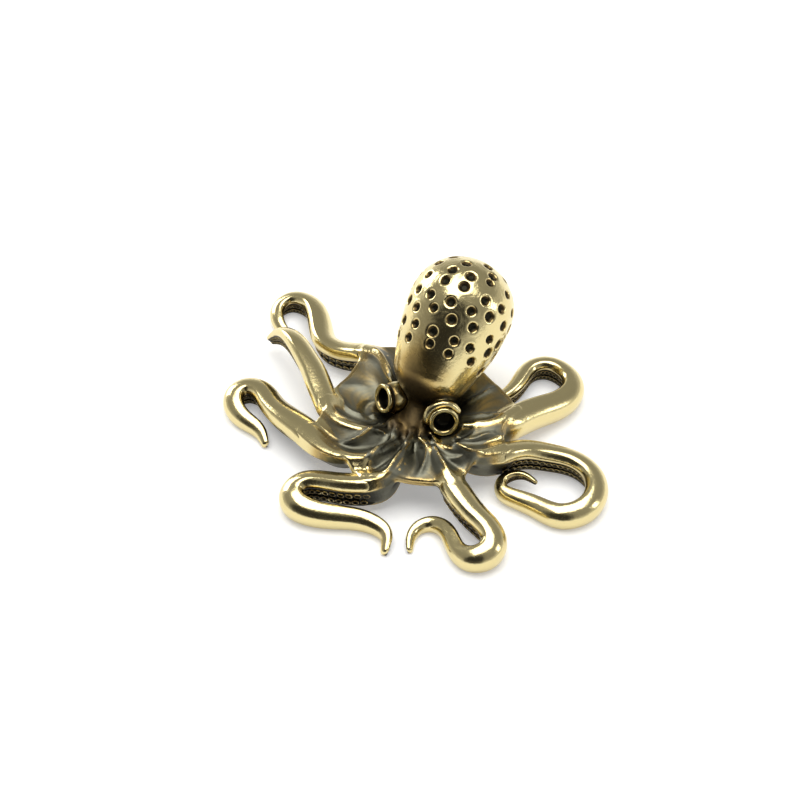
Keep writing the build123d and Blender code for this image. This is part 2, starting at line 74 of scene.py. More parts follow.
# Arms in order round the body: bearing of the root in degrees, reach in millimetres, side of the
# curl and how many degrees the sucker side turns down at the root. A row of a route is how far out
# and to the left, both as shares of the reach, the lift of the underside and the girth.
ARMS = {
    "arm_front_left": (-84, 20.0, 1, 0, (
        (0.30, 0.05, 2.10, 0.50), (0.46, 0.08, 1.50, 0.70), (0.59, 0.04, 0.95, 0.87),
        (0.66, -0.09, 0.60, 0.94), (0.69, -0.24, 0.40, 0.91), (0.70, -0.39, 0.20, 0.87),
        (0.73, -0.47, 0.10, 0.85), (0.80, -0.51, 0.00, 0.83), (0.88, -0.48, 0.00, 0.80),
        (0.91, -0.40, 0.00, 0.75), (0.87, -0.17, 0.00, 0.64), (0.83, 0.03, 0.00, 0.55),
        (0.87, 0.15, 0.00, 0.44), (0.98, 0.19, 0.00, 0.26))),
    "arm_front_right": (-40, 23.0, -1, 10, (
        (0.22, -0.06, 2.20, 0.50), (0.34, -0.04, 1.60, 0.70), (0.46, -0.02, 1.00, 0.88),
        (0.58, 0.00, 0.60, 0.98), (0.74, 0.04, 0.25, 0.92), (0.86, 0.08, 0.10, 0.87),
        (0.95, 0.07, 0.00, 0.83), (1.00, 0.00, 0.00, 0.76), (0.98, -0.08, 0.00, 0.67),
        (0.90, -0.12, 0.00, 0.57), (0.80, -0.12, 0.10, 0.52), (0.71, -0.13, 0.10, 0.47),
        (0.65, -0.18, 0.00, 0.42), (0.65, -0.25, 0.00, 0.37), (0.70, -0.31, 0.00, 0.31),
        (0.76, -0.34, 0.00, 0.22))),
    "arm_right_front": (-10, 25.5, -1, 10, (
        (0.17, -0.13, 2.20, 0.50), (0.31, -0.12, 1.65, 0.70), (0.43, -0.05, 1.10, 0.87),
        (0.50, 0.08, 0.70, 0.92), (0.56, 0.19, 0.40, 0.88), (0.65, 0.26, 0.20, 0.84),
        (0.76, 0.31, 0.10, 0.80), (0.88, 0.30, 0.00, 0.78), (0.97, 0.21, 0.00, 0.75),
        (0.98, 0.08, 0.00, 0.71), (0.91, -0.01, 0.00, 0.66), (0.78, -0.03, 0.00, 0.59),
        (0.66, -0.05, 0.10, 0.51), (0.58, -0.05, 0.25, 0.44), (0.55, -0.01, 0.45, 0.38),
        (0.57, 0.05, 0.70, 0.32), (0.62, 0.08, 0.90, 0.25), (0.69, 0.08, 1.00, 0.16))),
    "arm_right_rear": (20, 22.0, 1, 0, (
        (0.18, -0.12, 2.10, 0.48), (0.32, -0.11, 1.65, 0.66), (0.47, -0.05, 1.20, 0.82),
        (0.60, 0.09, 0.80, 0.88), (0.72, 0.22, 0.45, 0.84), (0.82, 0.32, 0.20, 0.80),
        (0.88, 0.42, 0.10, 0.78), (0.88, 0.54, 0.00, 0.76), (0.81, 0.63, 0.00, 0.74),
        (0.71, 0.66, 0.10, 0.71), (0.62, 0.62, 0.10, 0.68), (0.57, 0.52, 0.10, 0.65),
        (0.52, 0.41, 0.10, 0.60), (0.45, 0.35, 0.10, 0.54), (0.36, 0.35, 0.15, 0.44),
        (0.28, 0.41, 0.25, 0.28))),
    "arm_back": (94, 24.0, 1, 0, (
        (0.16, -0.05, 1.70, 0.45), (0.30, -0.04, 1.35, 0.58), (0.44, -0.02, 1.00, 0.74),
        (0.58, 0.00, 0.60, 0.90), (0.72, 0.01, 0.30, 0.85), (0.85, 0.04, 0.10, 0.79),
        (0.94, 0.10, 0.00, 0.74), (0.97, 0.19, 0.00, 0.67), (0.92, 0.27, 0.00, 0.59),
        (0.84, 0.28, 0.00, 0.51), (0.78, 0.23, 0.00, 0.42), (0.78, 0.16, 0.00, 0.28))),
    "arm_back_left": (146, 31.0, 1, 20, (
        (0.14, 0.01, 2.10, 0.50), (0.23, 0.00, 1.70, 0.68), (0.34, -0.01, 1.30, 0.85),
        (0.44, 0.02, 0.75, 0.92), (0.52, 0.07, 0.30, 0.89), (0.61, 0.11, 0.10, 0.86),
        (0.73, 0.09, 0.00, 0.84), (0.83, 0.06, 0.00, 0.81), (0.92, 0.06, 0.00, 0.74),
        (0.99, 0.12, 0.00, 0.64), (0.98, 0.18, 0.00, 0.54), (0.91, 0.22, 0.00, 0.45),
        (0.84, 0.22, 0.00, 0.35), (0.78, 0.20, 0.00, 0.24))),
    "arm_left_rear": (-150, 26.0, 1, 35, (
        (0.16, 0.10, 2.10, 0.48), (0.28, 0.11, 1.75, 0.64), (0.38, 0.05, 1.35, 0.80),
        (0.44, -0.09, 1.20, 0.85), (0.48, -0.21, 1.30, 0.87), (0.51, -0.30, 1.45, 0.86),
        (0.55, -0.39, 1.65, 0.82), (0.60, -0.50, 1.75, 0.76), (0.65, -0.59, 1.55, 0.64),
        (0.70, -0.65, 1.15, 0.45), (0.74, -0.68, 0.75, 0.28))),
    "arm_left_front": (-120, 24.5, 1, 40, (
        (0.20, 0.09, 2.10, 0.50), (0.36, 0.13, 1.45, 0.72), (0.48, 0.03, 0.80, 0.92),
        (0.53, -0.22, 0.30, 1.03), (0.56, -0.39, 0.10, 0.99), (0.57, -0.55, 0.00, 0.89),
        (0.57, -0.67, 0.00, 0.84), (0.62, -0.74, 0.00, 0.79), (0.69, -0.74, 0.00, 0.74),
        (0.74, -0.67, 0.00, 0.66), (0.73, -0.56, 0.00, 0.54), (0.70, -0.46, 0.00, 0.42),
        (0.71, -0.38, 0.00, 0.26))),
}

# The web carries an arm up to this row of its route, where the arm itself begins
BODY_ROWS = 3

# Share of its reach that an arm keeps, so that the whole surface stays inside the solids' box
REACH_SHARE = 0.992

# How much the feet are rubbed flat on the floor
FOOT_LINISH = 0.1

# Share of its full section that each of an arm's first rings has, sunk in the ridge behind it
ROOT_SHARES = (0.88, 0.94, 0.965, 0.98, 0.992)

# Rings that round off an arm's tip: share of the last section and how far past it each one is,
# and how far past it the very end is
TIP_RINGS = ((0.90, 0.12), (0.72, 0.24), (0.45, 0.33))
TIP_LENGTH = 0.36

# The two rows of suckers: how far in and how high, as shares of the arm's width and depth
SUCKER_ROWS = ((0.355, 0.02), (0.30, -0.27))

# A sucker's profile for a width of one: radius, height and patina
SUCKER_PROFILE = (
    (0.42, -0.30, 1.3), (0.46, 0.02, 1.3), (0.50, 0.18, 0.8), (0.44, 0.28, 0.45),
    (0.32, 0.24, 1.0), (0.18, 0.08, 1.3),
)

# An eye's profile from the back of the barrel over its rim to the end of the bore: radius, place
# along the eye's axis and patina
EYE_PROFILE = (
    (1.85, -4.4, 0.5), (2.02, -3.2, 0.3), (2.10, -2.5, 0.0), (2.10, -1.9, 0.0),
    (2.02, -1.35, 0.1), (1.86, -0.95, 0.5), (1.78, -0.72, 0.8), (1.80, -0.52, 0.4),
    (1.88, -0.38, 0.0), (1.92, -0.22, 0.0), (1.88, -0.08, 0.0), (1.77, -0.01, 0.0),
    (1.62, 0.0, 0.0), (1.48, -0.04, 0.0), (1.37, -0.14, 0.3), (1.28, -0.32, 0.8),
    (1.22, -0.7, 1.0), (1.20, -1.3, 1.0), (1.05, -1.55, 1.0), (0.7, -1.68, 1.0),
)

# The mantle: middle of its neck from the body axis, how many degrees its axis tilts back and leans
# to the side, and its profile along that axis
NECK_PLACE = (0.0, 3.4, 8.4)
MANTLE_TILT = 50
MANTLE_LEAN = 4
NECK_RADIUS = 4.9
BELLY_RADIUS = 6.84
BELLY_HEIGHT = 9.63
CROWN_HEIGHT = 16.54

# The eyes: middle of the mouth of the right one from the body axis, how many degrees they look
# aside and up, and the radius of the barrel
EYE_PLACE = (4.5, -0.9, 6.4)
EYE_TURN = 34
EYE_RISE = 18
EYE_RADIUS = 2.1

# Grid box of the head and web, from the body axis
BODY_LOW = (-15.5, -16.5, 0.3)
BODY_HIGH = (15.5, 16.0, 12.4)

# Brown of the mantle's face and the head: patina, and on the face a painted dark reflection
FACE_PATINA_AND_REFLECTION = (0.13, 0.085, 0.035)

# How far the web hangs below the arms' ridges, its thickness and how far out the middle of the
# scallop between two arms stands, as a share of the distance of their roots
WEB_SAG = 0.95
WEB_THICKNESS = 1.0
SCALLOP_SHARE = 0.88

# Crests of the web's folds, in millimetres from the body axis: height, half width and the points
FOLDS = (
    (1.1, 0.55, ((-0.9, -3.2), (-0.5, -5.0), (-0.5, -7.6), (-0.8, -10.2), (-0.6, -12.0))),
    (1.0, 0.50, ((1.2, -3.0), (2.0, -5.0), (2.3, -6.7), (2.2, -8.4), (2.2, -10.2),
                 (2.2, -12.0))),
    (0.5, 0.40, ((1.9, -8.6), (1.3, -10.2), (0.7, -11.6))),
    (0.9, 0.45, ((-2.7, -2.6), (-2.9, -4.4), (-3.1, -5.9), (-3.6, -7.4), (-4.6, -8.8),
                 (-6.2, -9.6))),
    (0.6, 0.40, ((-3.9, -2.9), (-4.4, -4.4), (-5.2, -5.6), (-6.6, -6.1), (-8.4, -5.9),
                 (-9.6, -4.8))),
    (0.4, 0.40, ((-4.6, -1.6), (-5.4, -3.0), (-6.6, -3.9), (-8.0, -3.8), (-9.4, -2.8))),
    (0.7, 0.45, ((3.4, -3.4), (4.2, -5.1), (4.9, -6.4), (5.4, -8.2), (5.4, -9.6))),
    (0.9, 0.45, ((4.5, -3.6), (5.2, -5.0), (6.1, -6.1), (7.4, -7.1), (8.9, -8.0))),
    (0.5, 0.40, ((5.4, -4.6), (6.4, -5.6), (7.8, -5.9), (9.0, -5.3), (9.6, -4.5))),
    (1.1, 0.50, ((5.1, -0.8), (5.8, -2.2), (6.8, -3.4), (8.0, -4.1), (9.4, -4.3), (11.2, -3.2))),
    (0.6, 0.45, ((6.0, -0.6), (7.0, -1.6), (8.4, -1.4), (9.8, 0.0), (11.0, 1.2))),
    (0.4, 0.40, ((5.4, 0.9), (6.4, 0.6), (7.6, 0.9), (8.8, 2.0))),
    (0.6, 0.45, ((4.8, 2.8), (6.4, 2.9), (8.2, 3.6), (10.4, 4.4))),
    (0.5, 0.45, ((4.2, 5.2), (5.6, 7.2), (6.4, 9.4))),
    (0.5, 0.45, ((1.6, 6.4), (1.8, 8.8), (1.2, 11.0))),
    (0.5, 0.45, ((-2.6, 5.8), (-3.6, 8.4), (-4.4, 10.6))),
    (0.6, 0.45, ((-4.8, 3.0), (-6.6, 4.4), (-8.6, 6.0), (-10.6, 7.2))),
    (0.2, 0.80, ((-4.8, 0.8), (-6.8, 1.0), (-9.0, 0.6), (-11.2, -0.6))),
)

# Rows of pits: share of the mantle's height and how many go round
PIT_ROWS = ((0.225, 12), (0.350, 14), (0.475, 15), (0.600, 15), (0.725, 14), (0.835, 12),
            (0.920, 8), (0.972, 4))

# Strands that run down the face from between the eyes to the ridges: radii at both ends
STRANDS = (
    (0.55, 0.40, ((-2.0, 0.0, 4.9), (-1.8, -1.6, 4.6), (-1.1, -3.2, 4.8), (-0.6, -5.0, 5.3))),
    (0.60, 0.40, ((0.1, -0.6, 5.2), (0.7, -2.0, 4.9), (1.3, -3.6, 5.0), (1.7, -5.6, 5.6))),
    (0.50, 0.35, ((1.2, -0.4, 4.9), (2.0, -1.9, 4.6), (2.8, -3.2, 4.8), (3.4, -4.4, 5.4))),
    (0.60, 0.40, ((2.2, 0.2, 4.8), (3.2, -1.2, 4.5), (4.2, -2.3, 4.7), (5.0, -3.0, 5.2))),
)

# Soft lamps: name, place in metres, width, height, power and tone
LAMPS = (
    ("top_softbox", (-0.02, 0.02, 0.40), 0.42, 0.34, 1.65, (1.0, 0.99, 0.97)),
    ("left_softbox", (-0.33, 0.10, 0.10), 0.14, 0.18, 0.45, (1.0, 1.0, 1.0)),
    ("right_softbox", (0.36, 0.12, 0.16), 0.08, 0.18, 0.20, (1.0, 1.0, 1.0)),
)

# The eight corners of a grid's cell
CORNERS = np.array([(x, y, z) for z in (0, 1) for y in (0, 1) for x in (0, 1)])


# Sizes

class OctopusSizes(bpy.types.PropertyGroup):
    root_width: bpy.props.FloatProperty(
        name="Root width", description="Arm's width across the curl at its root",
        default=3.9 * MM, unit="LENGTH")
    root_depth: bpy.props.FloatProperty(
        name="Root depth", description="Arm's height at its root", default=5.0 * MM, unit="LENGTH")
    root_lift: bpy.props.FloatProperty(
        name="Root lift", description="Height of one share of lift", default=2.0 * MM,
        unit="LENGTH")
    sucker_size: bpy.props.FloatProperty(
        name="Sucker size", description="Diameter of a sucker at an arm's root",
        default=1.05 * MM, unit="LENGTH")
    sucker_pitch: bpy.props.FloatProperty(
        name="Sucker pitch", description="Step between suckers, in sucker diameters", default=1.12)
    pit_size: bpy.props.FloatProperty(
        name="Pit size", description="Diameter of a pit in the mantle", default=1.62 * MM,
        unit="LENGTH")
    pit_depth: bpy.props.FloatProperty(
        name="Pit depth", description="Depth of a pit", default=0.44 * MM, unit="LENGTH")
    pit_rim: bpy.props.FloatProperty(
        name="Pit rim", description="Height of the raised rim round a pit", default=0.02 * MM,
        unit="LENGTH")
    body_step: bpy.props.FloatProperty(
        name="Body step", description="Grid step of the head and web's surface",
        default=0.172 * MM, unit="LENGTH")


class OctopusFinish(bpy.types.PropertyGroup):
    brass: bpy.props.FloatVectorProperty(
        name="Brass", description="Polished brass", subtype="COLOR", size=3,
        default=(0.69, 0.585, 0.30))
    # Toned brass, which also paints the brown of dark reflections on the mantle's face and on the
    # arms' lower backs
    toned_brass_and_reflection: bpy.props.FloatVectorProperty(
        name="Warm brass", description="Brass that handling has toned", subtype="COLOR", size=3,
        default=(0.44, 0.31, 0.11))
    oxide: bpy.props.FloatVectorProperty(
        name="Oxide", description="Dark oxide in the recesses", subtype="COLOR", size=3,
        default=(0.020, 0.019, 0.012))
    web_patina: bpy.props.FloatVectorProperty(
        name="Web patina", description="Grey-green patina on the web", subtype="COLOR", size=3,
        default=(0.27, 0.265, 0.20))
    polish: bpy.props.FloatProperty(
        name="Polish", description="Roughness of the polished metal", default=0.15,
        subtype="FACTOR")
    dullness: bpy.props.FloatProperty(
        name="Dullness", description="Roughness of the oxidised metal", default=0.42,
        subtype="FACTOR")


class OctopusStudio(bpy.types.PropertyGroup):
    azimuth: bpy.props.FloatProperty(
        name="Azimuth", description="Camera's bearing round the figurine",
        default=math.radians(28.6), subtype="ANGLE")
    elevation: bpy.props.FloatProperty(
        name="Elevation", description="Camera's height angle", default=math.radians(45.0),
        subtype="ANGLE")
    distance: bpy.props.FloatProperty(
        name="Distance", description="Camera's distance", default=0.25, unit="LENGTH")
    aim_right: bpy.props.FloatProperty(
        name="Aim right", description="How far right of the body axis the camera looks",
        default=-2.08 * MM, unit="LENGTH")
    aim_up: bpy.props.FloatProperty(
        name="Aim up", description="How far up the picture from the body axis it looks",
        default=5.33 * MM, unit="LENGTH")
    lens: bpy.props.FloatProperty(
        name="Lens", description="Focal length in millimetres", default=86.5)
    floor_tone: bpy.props.FloatVectorProperty(
        name="Floor tone", description="Colour of the floor", subtype="COLOR", size=3,
        default=(0.86, 0.86, 0.85))
    dark_side: bpy.props.FloatVectorProperty(
        name="Dark side", description="Direction of the dark screen round the camera, which gives "
        "the metal its dark reflections", subtype="DIRECTION", size=3, default=(0.10, -0.90, 0.42))
    lamp_power: bpy.props.FloatProperty(
        name="Lamp power", description="Strength of the soft lamps", default=1.0)


# Curves and sweeps

def unit(vectors):
    return vectors / np.maximum(np.linalg.norm(vectors, axis=-1, keepdims=True), 1e-9)


def eased(share):
    share = np.clip(share, 0, 1)
    return share * share * (3 - 2 * share)


def smooth_min(first, second, reach):
    share = np.clip(0.5 + 0.5 * (second - first) / reach, 0, 1)
    return second + (first - second) * share - reach * share * (1 - share)


def along(points, count):
    """Points of a natural cubic curve through the rows, spaced evenly by chord, and their marks in
    rows."""
    points = np.asarray(points, float)
    chords = np.linalg.norm(np.diff(points[:, :3], axis=0), axis=1)
    marks = np.concatenate(([0.0], np.cumsum(chords)))
    system = np.eye(len(points))
    right = np.zeros(points.shape)
    for i in range(1, len(points) - 1):
        before, after = chords[i - 1], chords[i]
        system[i, i - 1:i + 2] = before, 2 * (before + after), after
        right[i] = 6 * ((points[i + 1] - points[i]) / after - (points[i] - points[i - 1]) / before)
    bends = np.linalg.solve(system, right)
    places = np.linspace(0, marks[-1], count)
    row = np.clip(np.searchsorted(marks, places, side="right") - 1, 0, len(chords) - 1)
    chord = chords[row][:, None]
    ahead = (places - marks[row])[:, None] / chord
    behind = 1 - ahead
    curve = behind * points[row] + ahead * points[row + 1] + chord ** 2 / 6 * (
        (behind ** 3 - behind) * bends[row] + (ahead ** 3 - ahead) * bends[row + 1])
    return curve, row + ahead[:, 0]


def beside(curve, places):
    """For each run of a curve, how far along it the places lie, as a share, and their distance."""
    for start, run in zip(curve, np.diff(curve, axis=0)):
        share = np.clip((places - start) @ run / (run @ run), 0, 1)
        yield share, np.linalg.norm(places - start - share[..., None] * run, axis=-1)


def arm_path(name, sizes, spacing):
    """Centres, sucker-side and upward directions, widths and depths along an arm's whole route."""
    bearing, reach, curl, bank, rows = ARMS[name]
    reach *= REACH_SHARE
    width, depth, lift = sizes.root_width / MM, sizes.root_depth / MM, sizes.root_lift / MM
    angle = math.radians(bearing)
    out = np.array((math.cos(angle), math.sin(angle), 0.0))
    left = np.cross(UP, out)
    last = len(rows) - 1
    knots = []
    for row, (out_share, left_share, lift_share, girth) in enumerate(rows):
        turn = math.radians(bank) * (1 - row / last) ** 2
        below = depth / 2 * math.cos(turn) + width / 4 * math.sin(turn)
        place = AXIS + (out * out_share + left * left_share) * reach
        knots.append((*(place + UP * (lift * lift_share - FOOT_LINISH + below * girth)), girth))
    knots = np.array(knots)
    chords = np.linalg.norm(np.diff(knots[:, :3], axis=0), axis=1).sum()
    curve, row_marks = along(knots, int(chords / spacing) + 1)
    centres, girths = curve[:, :3], curve[:, 3]
    ahead = unit(np.gradient(centres, axis=0))
    turn = (math.radians(bank) * (1 - row_marks / last) ** 2)[:, None]
    inward = unit(np.cross(UP, ahead) * curl)
    upward = unit(UP - ahead * (ahead @ UP)[:, None])
    sucker_side = inward * np.cos(turn) - upward * np.sin(turn)
    return {
        "centres": centres, "ahead": ahead, "side": sucker_side,
        "top": unit(np.cross(ahead * curl, sucker_side)),
        "width": width * girths, "depth": depth * girths, "rows": row_marks,
    }


def arm_profile():
    """Outline of an arm's section in shares of its width and depth, and how dark each point is
    painted: patina on the sucker side, painted dark reflection down the lower back and painted
    shade on the underside."""
    crown, foot = 0.25, 0.1
    points, dark = [], []
    for angle in np.radians(np.arange(90, 180, 9)):
        points.append((crown + (crown + 0.5) * math.cos(angle), 0.5 * math.sin(angle)))
        dark.append(0.0)
    # Lower back, darker towards the bottom: painted dark reflection
    for angle in np.radians(np.arange(180, 269, 10)):
        points.append((-foot + (0.5 - foot) * math.cos(angle), 0.5 * math.sin(angle)))
        dark.append(0.25 * (math.degrees(angle) - 180) / 90)
    # Underside: painted shade, deepening into the patina of the sucker side
    points += [(-0.06, -0.5), (0.1, -0.5), (0.22, -0.495), (0.29, -0.46)]
    dark += [0.4, 0.5, 0.6, 0.8]
    for step in np.linspace(0, 1, 11):
        groove = 0.075 * math.sin(math.pi * step) ** 0.7
        points.append((0.32 + 0.165 * step - groove, -0.41 + 0.62 * step))
        dark.append(1.3 if step < 0.95 else 0.8)
    points += [(0.498, 0.25), (0.496, 0.29), (0.475, 0.335), (0.43, 0.395), (0.37, 0.45),
               (0.31, 0.485)]
    dark += [0.25, 0.05, 0.0, 0.0, 0.0, 0.0]
    return np.array(points), np.array(dark)


def add_object(name, data):
    made = bpy.data.objects.new(name, data)
    bpy.context.scene.collection.objects.link(made)
    return made


def new_piece(name, points, faces, material, marks):
    """A mesh object from points in millimetres, with float attributes and one material."""
    mesh = bpy.data.meshes.new(name)
    points = np.asarray(points, float) * MM
    mesh.from_pydata(points.tolist(), [], faces if isinstance(faces, list) else faces.tolist())
    mesh.validate()
    for mark, values in marks.items():
        layer = mesh.attributes.new(mark, "FLOAT", "POINT")
        layer.data.foreach_set("value", np.asarray(values, np.float32))
    mesh.materials.append(material)
    mesh.shade_smooth()
    mesh.update()
    return add_object(name, mesh)


def closed_tube(rings, around):
    """Faces between rings of points, and fans to the two points after them: the last ring's and
    the first ring's."""
    steps = [(step, (step + 1) % around) for step in range(around)]
    end = rings * around
    faces = [(base + a, base + b, base + around + b, base + around + a)
             for base in range(0, end - around, around) for a, b in steps]
    faces += [(end - around + a, end - around + b, end) for a, b in steps]
    return faces + [(b, a, end + 1) for a, b in steps]


def round_axis(axis, height, radius, angle):
    """Places round an axis: its origin, its direction and the two directions across it."""
    origin, ahead, side, over = axis
    height, radius, angle = np.broadcast_arrays(height, radius, angle)
    return origin + height[..., None] * ahead + (radius * np.cos(angle))[..., None] * side \
        + (radius * np.sin(angle))[..., None] * over


def turned_piece(name, axis, heights, radii, around, ends, tone, material):
    """A closed piece turned round an axis, with its ends at two heights on it. The tone gives the
    patina, with the painted shade and painted dark reflection that some pieces have, at a ring's
    number or an end's, from -2, and at angles."""
    angles = 2 * math.pi * np.arange(around) / around
    rings = round_axis(axis, heights[:, None], radii[:, None], angles)
    points = np.concatenate((rings.reshape(-1, 3), round_axis(axis, np.array(ends), 0.0, 0.0)))
    return new_piece(name, points, closed_tube(len(heights), around), material, {"patina": tone})


def finish_piece(piece, *nodes):
    """A made piece rides on the casting's body and stands for its nodes."""
    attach(piece, BODY)
    if nodes:
        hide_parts(*nodes)
    return piece


# Finish

def feed(tree, socket, value):
    """Links a socket to another node's output, or sets its value."""
    if isinstance(value, bpy.types.NodeSocket):
        tree.links.new(value, socket)
    else:
        socket.default_value = value


def node(tree, kind, place, inputs=None, **settings):
    made = tree.nodes.new(kind)
    made.location = place
    for key, value in settings.items():
        setattr(made, key, value)
    for key, value in (inputs or {}).items():
        feed(tree, made.inputs[key], value)
    return made


def arithmetic(tree, operation, first, second, place, clamp=False):
    return node(tree, "ShaderNodeMath", place, {0: first, 1: second}, operation=operation,
                use_clamp=clamp).outputs[0]


def colour_mix(tree, factor, first, second, place):
    return node(tree, "ShaderNodeMix", place, {"Factor": factor, 6: first, 7: second},
                data_type="RGBA").outputs[2]


def ranged(tree, value, source, target, place, ease="SMOOTHSTEP"):
    """A value taken from one range to another."""
    return node(tree, "ShaderNodeMapRange", place, {
        "Value": value, "From Min": source[0], "From Max": source[1], "To Min": target[0],
        "To Max": target[1]}, interpolation_type=ease).outputs["Result"]


def marked(tree, name, place):
    return node(tree, "ShaderNodeAttribute", place, attribute_name=name).outputs["Fac"]


def antique_brass(name, finish, patina_and_shade_tone, recess_depth, grain):
    """Brass polished on its high places and oxidised where the piece's attribute of patina and
    painted shade and its recesses say, with toned metal between them, casting grain and fine
    scratches. Painted shade and painted dark reflection in that attribute show as toned and
    oxidised metal."""
    material = bpy.data.materials.new(name)
    material.use_nodes = True
    tree = material.node_tree
    shader = tree.nodes["Principled BSDF"]
    shader.location = (900, 0)
    tree.nodes["Material Output"].location = (1200, 0)
    place = node(tree, "ShaderNodeTexCoord", (-1300, 0)).outputs["Object"]
    patina = marked(tree, "patina", (-1300, 300))
    face = marked(tree, "face", (-300, -320))
    shelter = node(tree, "ShaderNodeAmbientOcclusion", (-1300, 520), {"Distance": recess_depth},
                   samples=8, only_local=True).outputs["AO"]
    edges = node(tree, "ShaderNodeNewGeometry", (-1300, 760)).outputs["Pointiness"]
    cloud, speck = (
        node(tree, "ShaderNodeTexNoise", (-1100, low), {"Vector": place, "Scale": scale,
                                                        "Detail": detail}).outputs["Fac"]
        for low, scale, detail in ((0, 300.0, 4.0), (-260, 2600.0, 5.0)))

    hidden = arithmetic(tree, "SUBTRACT", 1.0, shelter, (-1000, 520), True)
    hidden = arithmetic(tree, "MULTIPLY", hidden, 1.25, (-820, 520))
    crest = arithmetic(tree, "SUBTRACT", edges, 0.54, (-1000, 760))
    crest = arithmetic(tree, "MULTIPLY", crest, 5.0, (-820, 760), True)
    mottle = arithmetic(tree, "SUBTRACT", cloud, 0.5, (-820, 0))
    mottle = arithmetic(tree, "MULTIPLY", mottle, 0.4, (-640, 0))
    dark = arithmetic(tree, "ADD", patina, hidden, (-640, 400))
    dark = arithmetic(tree, "ADD", dark, mottle, (-460, 300))
    dark = arithmetic(tree, "SUBTRACT", dark, crest, (-280, 300), True)
    # Toned and oxidised metal from the darkness sum, which also holds painted shade and painted
    # dark reflection
    toned = ranged(tree, dark, (0.04, 0.45), (0, 1), (-100, 420))
    oxidised_and_shaded = ranged(tree, dark, (0.32, 0.74), (0, 1), (-100, 160))
    deep = ranged(tree, patina, (0.95, 1.35), (0, 1), (-100, -80))

    oxide, brass = (*finish.oxide, 1), (*finish.brass, 1)
    metal = colour_mix(tree, toned, brass, (*finish.toned_brass_and_reflection, 1), (120, 420))
    # Where the face attribute says, the brown of patina and painted dark reflection takes the place
    # of the piece's own tone
    tone = colour_mix(tree, face, (*patina_and_shade_tone, 1), (*FACE_PATINA_AND_REFLECTION, 1), (-100, -320))
    tarnish_and_shade = colour_mix(tree, cloud, oxide, tone, (120, 160))
    tarnish_and_shade = colour_mix(tree, deep, tarnish_and_shade, oxide, (240, 60))
    gloss = ranged(tree, oxidised_and_shaded, (0, 1), (finish.polish, finish.dullness), (340, 0), "LINEAR")
    haze = arithmetic(tree, "MULTIPLY", speck, 0.06, (340, -260))
    casting = arithmetic(tree, "ADD", cloud, speck, (340, -480))
    bump = node(tree, "ShaderNodeBump", (620, -400),
                {"Strength": grain, "Distance": 0.05 * MM, "Height": casting})
    for socket, value in (
            ("Base Color", colour_mix(tree, oxidised_and_shaded, metal, tarnish_and_shade, (340, 300))),
            ("Roughness", arithmetic(tree, "ADD", gloss, haze, (560, -100), True)),
            ("Metallic", 1.0), ("Normal", bump.outputs["Normal"])):
        feed(tree, shader.inputs[socket], value)
    return material


# Arms and suckers

def build_arm(name, sizes, material):
    """An arm swept along its route, from a sunk root inside the ridge that carries it to a rounded
    tip, with its sucker side grooved after the joint."""
    path = arm_path(name, sizes, 0.28)
    root = len(ROOT_SHARES)
    start = np.searchsorted(path["rows"], BODY_ROWS) - root
    centres, side, top, width, depth = (
        path[key][start:].copy() for key in ("centres", "side", "top", "width", "depth"))
    width[:root] *= ROOT_SHARES
    depth[:root] *= ROOT_SHARES
    outline, dark = arm_profile()
    plain = outline.copy()
    grooved = dark > 0.65
    plain[grooved, 0] += 0.055 * np.sin(np.linspace(0, math.pi, grooved.sum())) ** 0.7
    blend = np.minimum(1, np.arange(len(centres)) / 8)[:, None, None]
    shape = plain * (1 - blend) + outline * blend
    rings = centres[:, None] + shape[..., :1] * (width[:, None] * side)[:, None] \
        + shape[..., 1:] * (depth[:, None] * top)[:, None]
    tip, onward = centres[-1], path["ahead"][-1]
    close = [tip + onward * push + (rings[-1] - tip) * share for share, push in TIP_RINGS]
    rings = np.concatenate((rings, close))
    marks = np.tile(dark, (len(rings), 1))
    marks[-len(close):] *= 0.6
    points = np.concatenate((rings.reshape(-1, 3), [tip + onward * TIP_LENGTH, centres[0]]))
    points[:, 2] = np.maximum(points[:, 2], 0.0)
    faces = closed_tube(len(rings), len(outline))
    if ARMS[name][2] > 0:
        faces = [face[::-1] for face in faces]
    piece = new_piece("cast_" + name, points, faces, material,
                      {"patina": np.append(marks, (0.3, 0.5))})
    return finish_piece(piece, name)


def sucker_points(sizes):
    """Places, facings and sizes of the suckers: two staggered rows on every arm's sucker side."""
    step, smallest, droop = 0.1, 0.34, 0.22
    made = []
    for name in ARMS:
        path = arm_path(name, sizes, step)
        at = int(np.searchsorted(path["rows"], BODY_ROWS - 0.2))
        row = 0
        while at < len(path["centres"]) - 6:
            side, top, width = path["side"][at], path["top"][at], path["width"][at]
            span = max(smallest, sizes.sucker_size * width / sizes.root_width)
            inset, height = SUCKER_ROWS[row % 2]
            place = path["centres"][at] + side * inset * width + top * height * path["depth"][at]
            if place[2] > span * 0.42:
                made.append((*place, *unit(side - droop * top), span))
            row += 1
            at += max(2, int(span * sizes.sucker_pitch / 2 / step))
    made = np.array(made)
    return made[:, :3], made[:, 3:6], made[:, 6]


def sucker_cup(material):
    """One sucker, a unit across: a low drum with a round rim and a dished middle."""
    radii, heights, shades = np.array(SUCKER_PROFILE).T
    around = 12
    tone = np.append(np.repeat(shades, around), (1.0, 1.0))
    axis = np.zeros(3), UP, np.array((1.0, 0.0, 0.0)), np.array((0.0, 1.0, 0.0))
    return turned_piece("sucker_cup", axis, heights / MM, radii / MM, around,
                        (0.04 / MM, -0.30 / MM), tone, material)


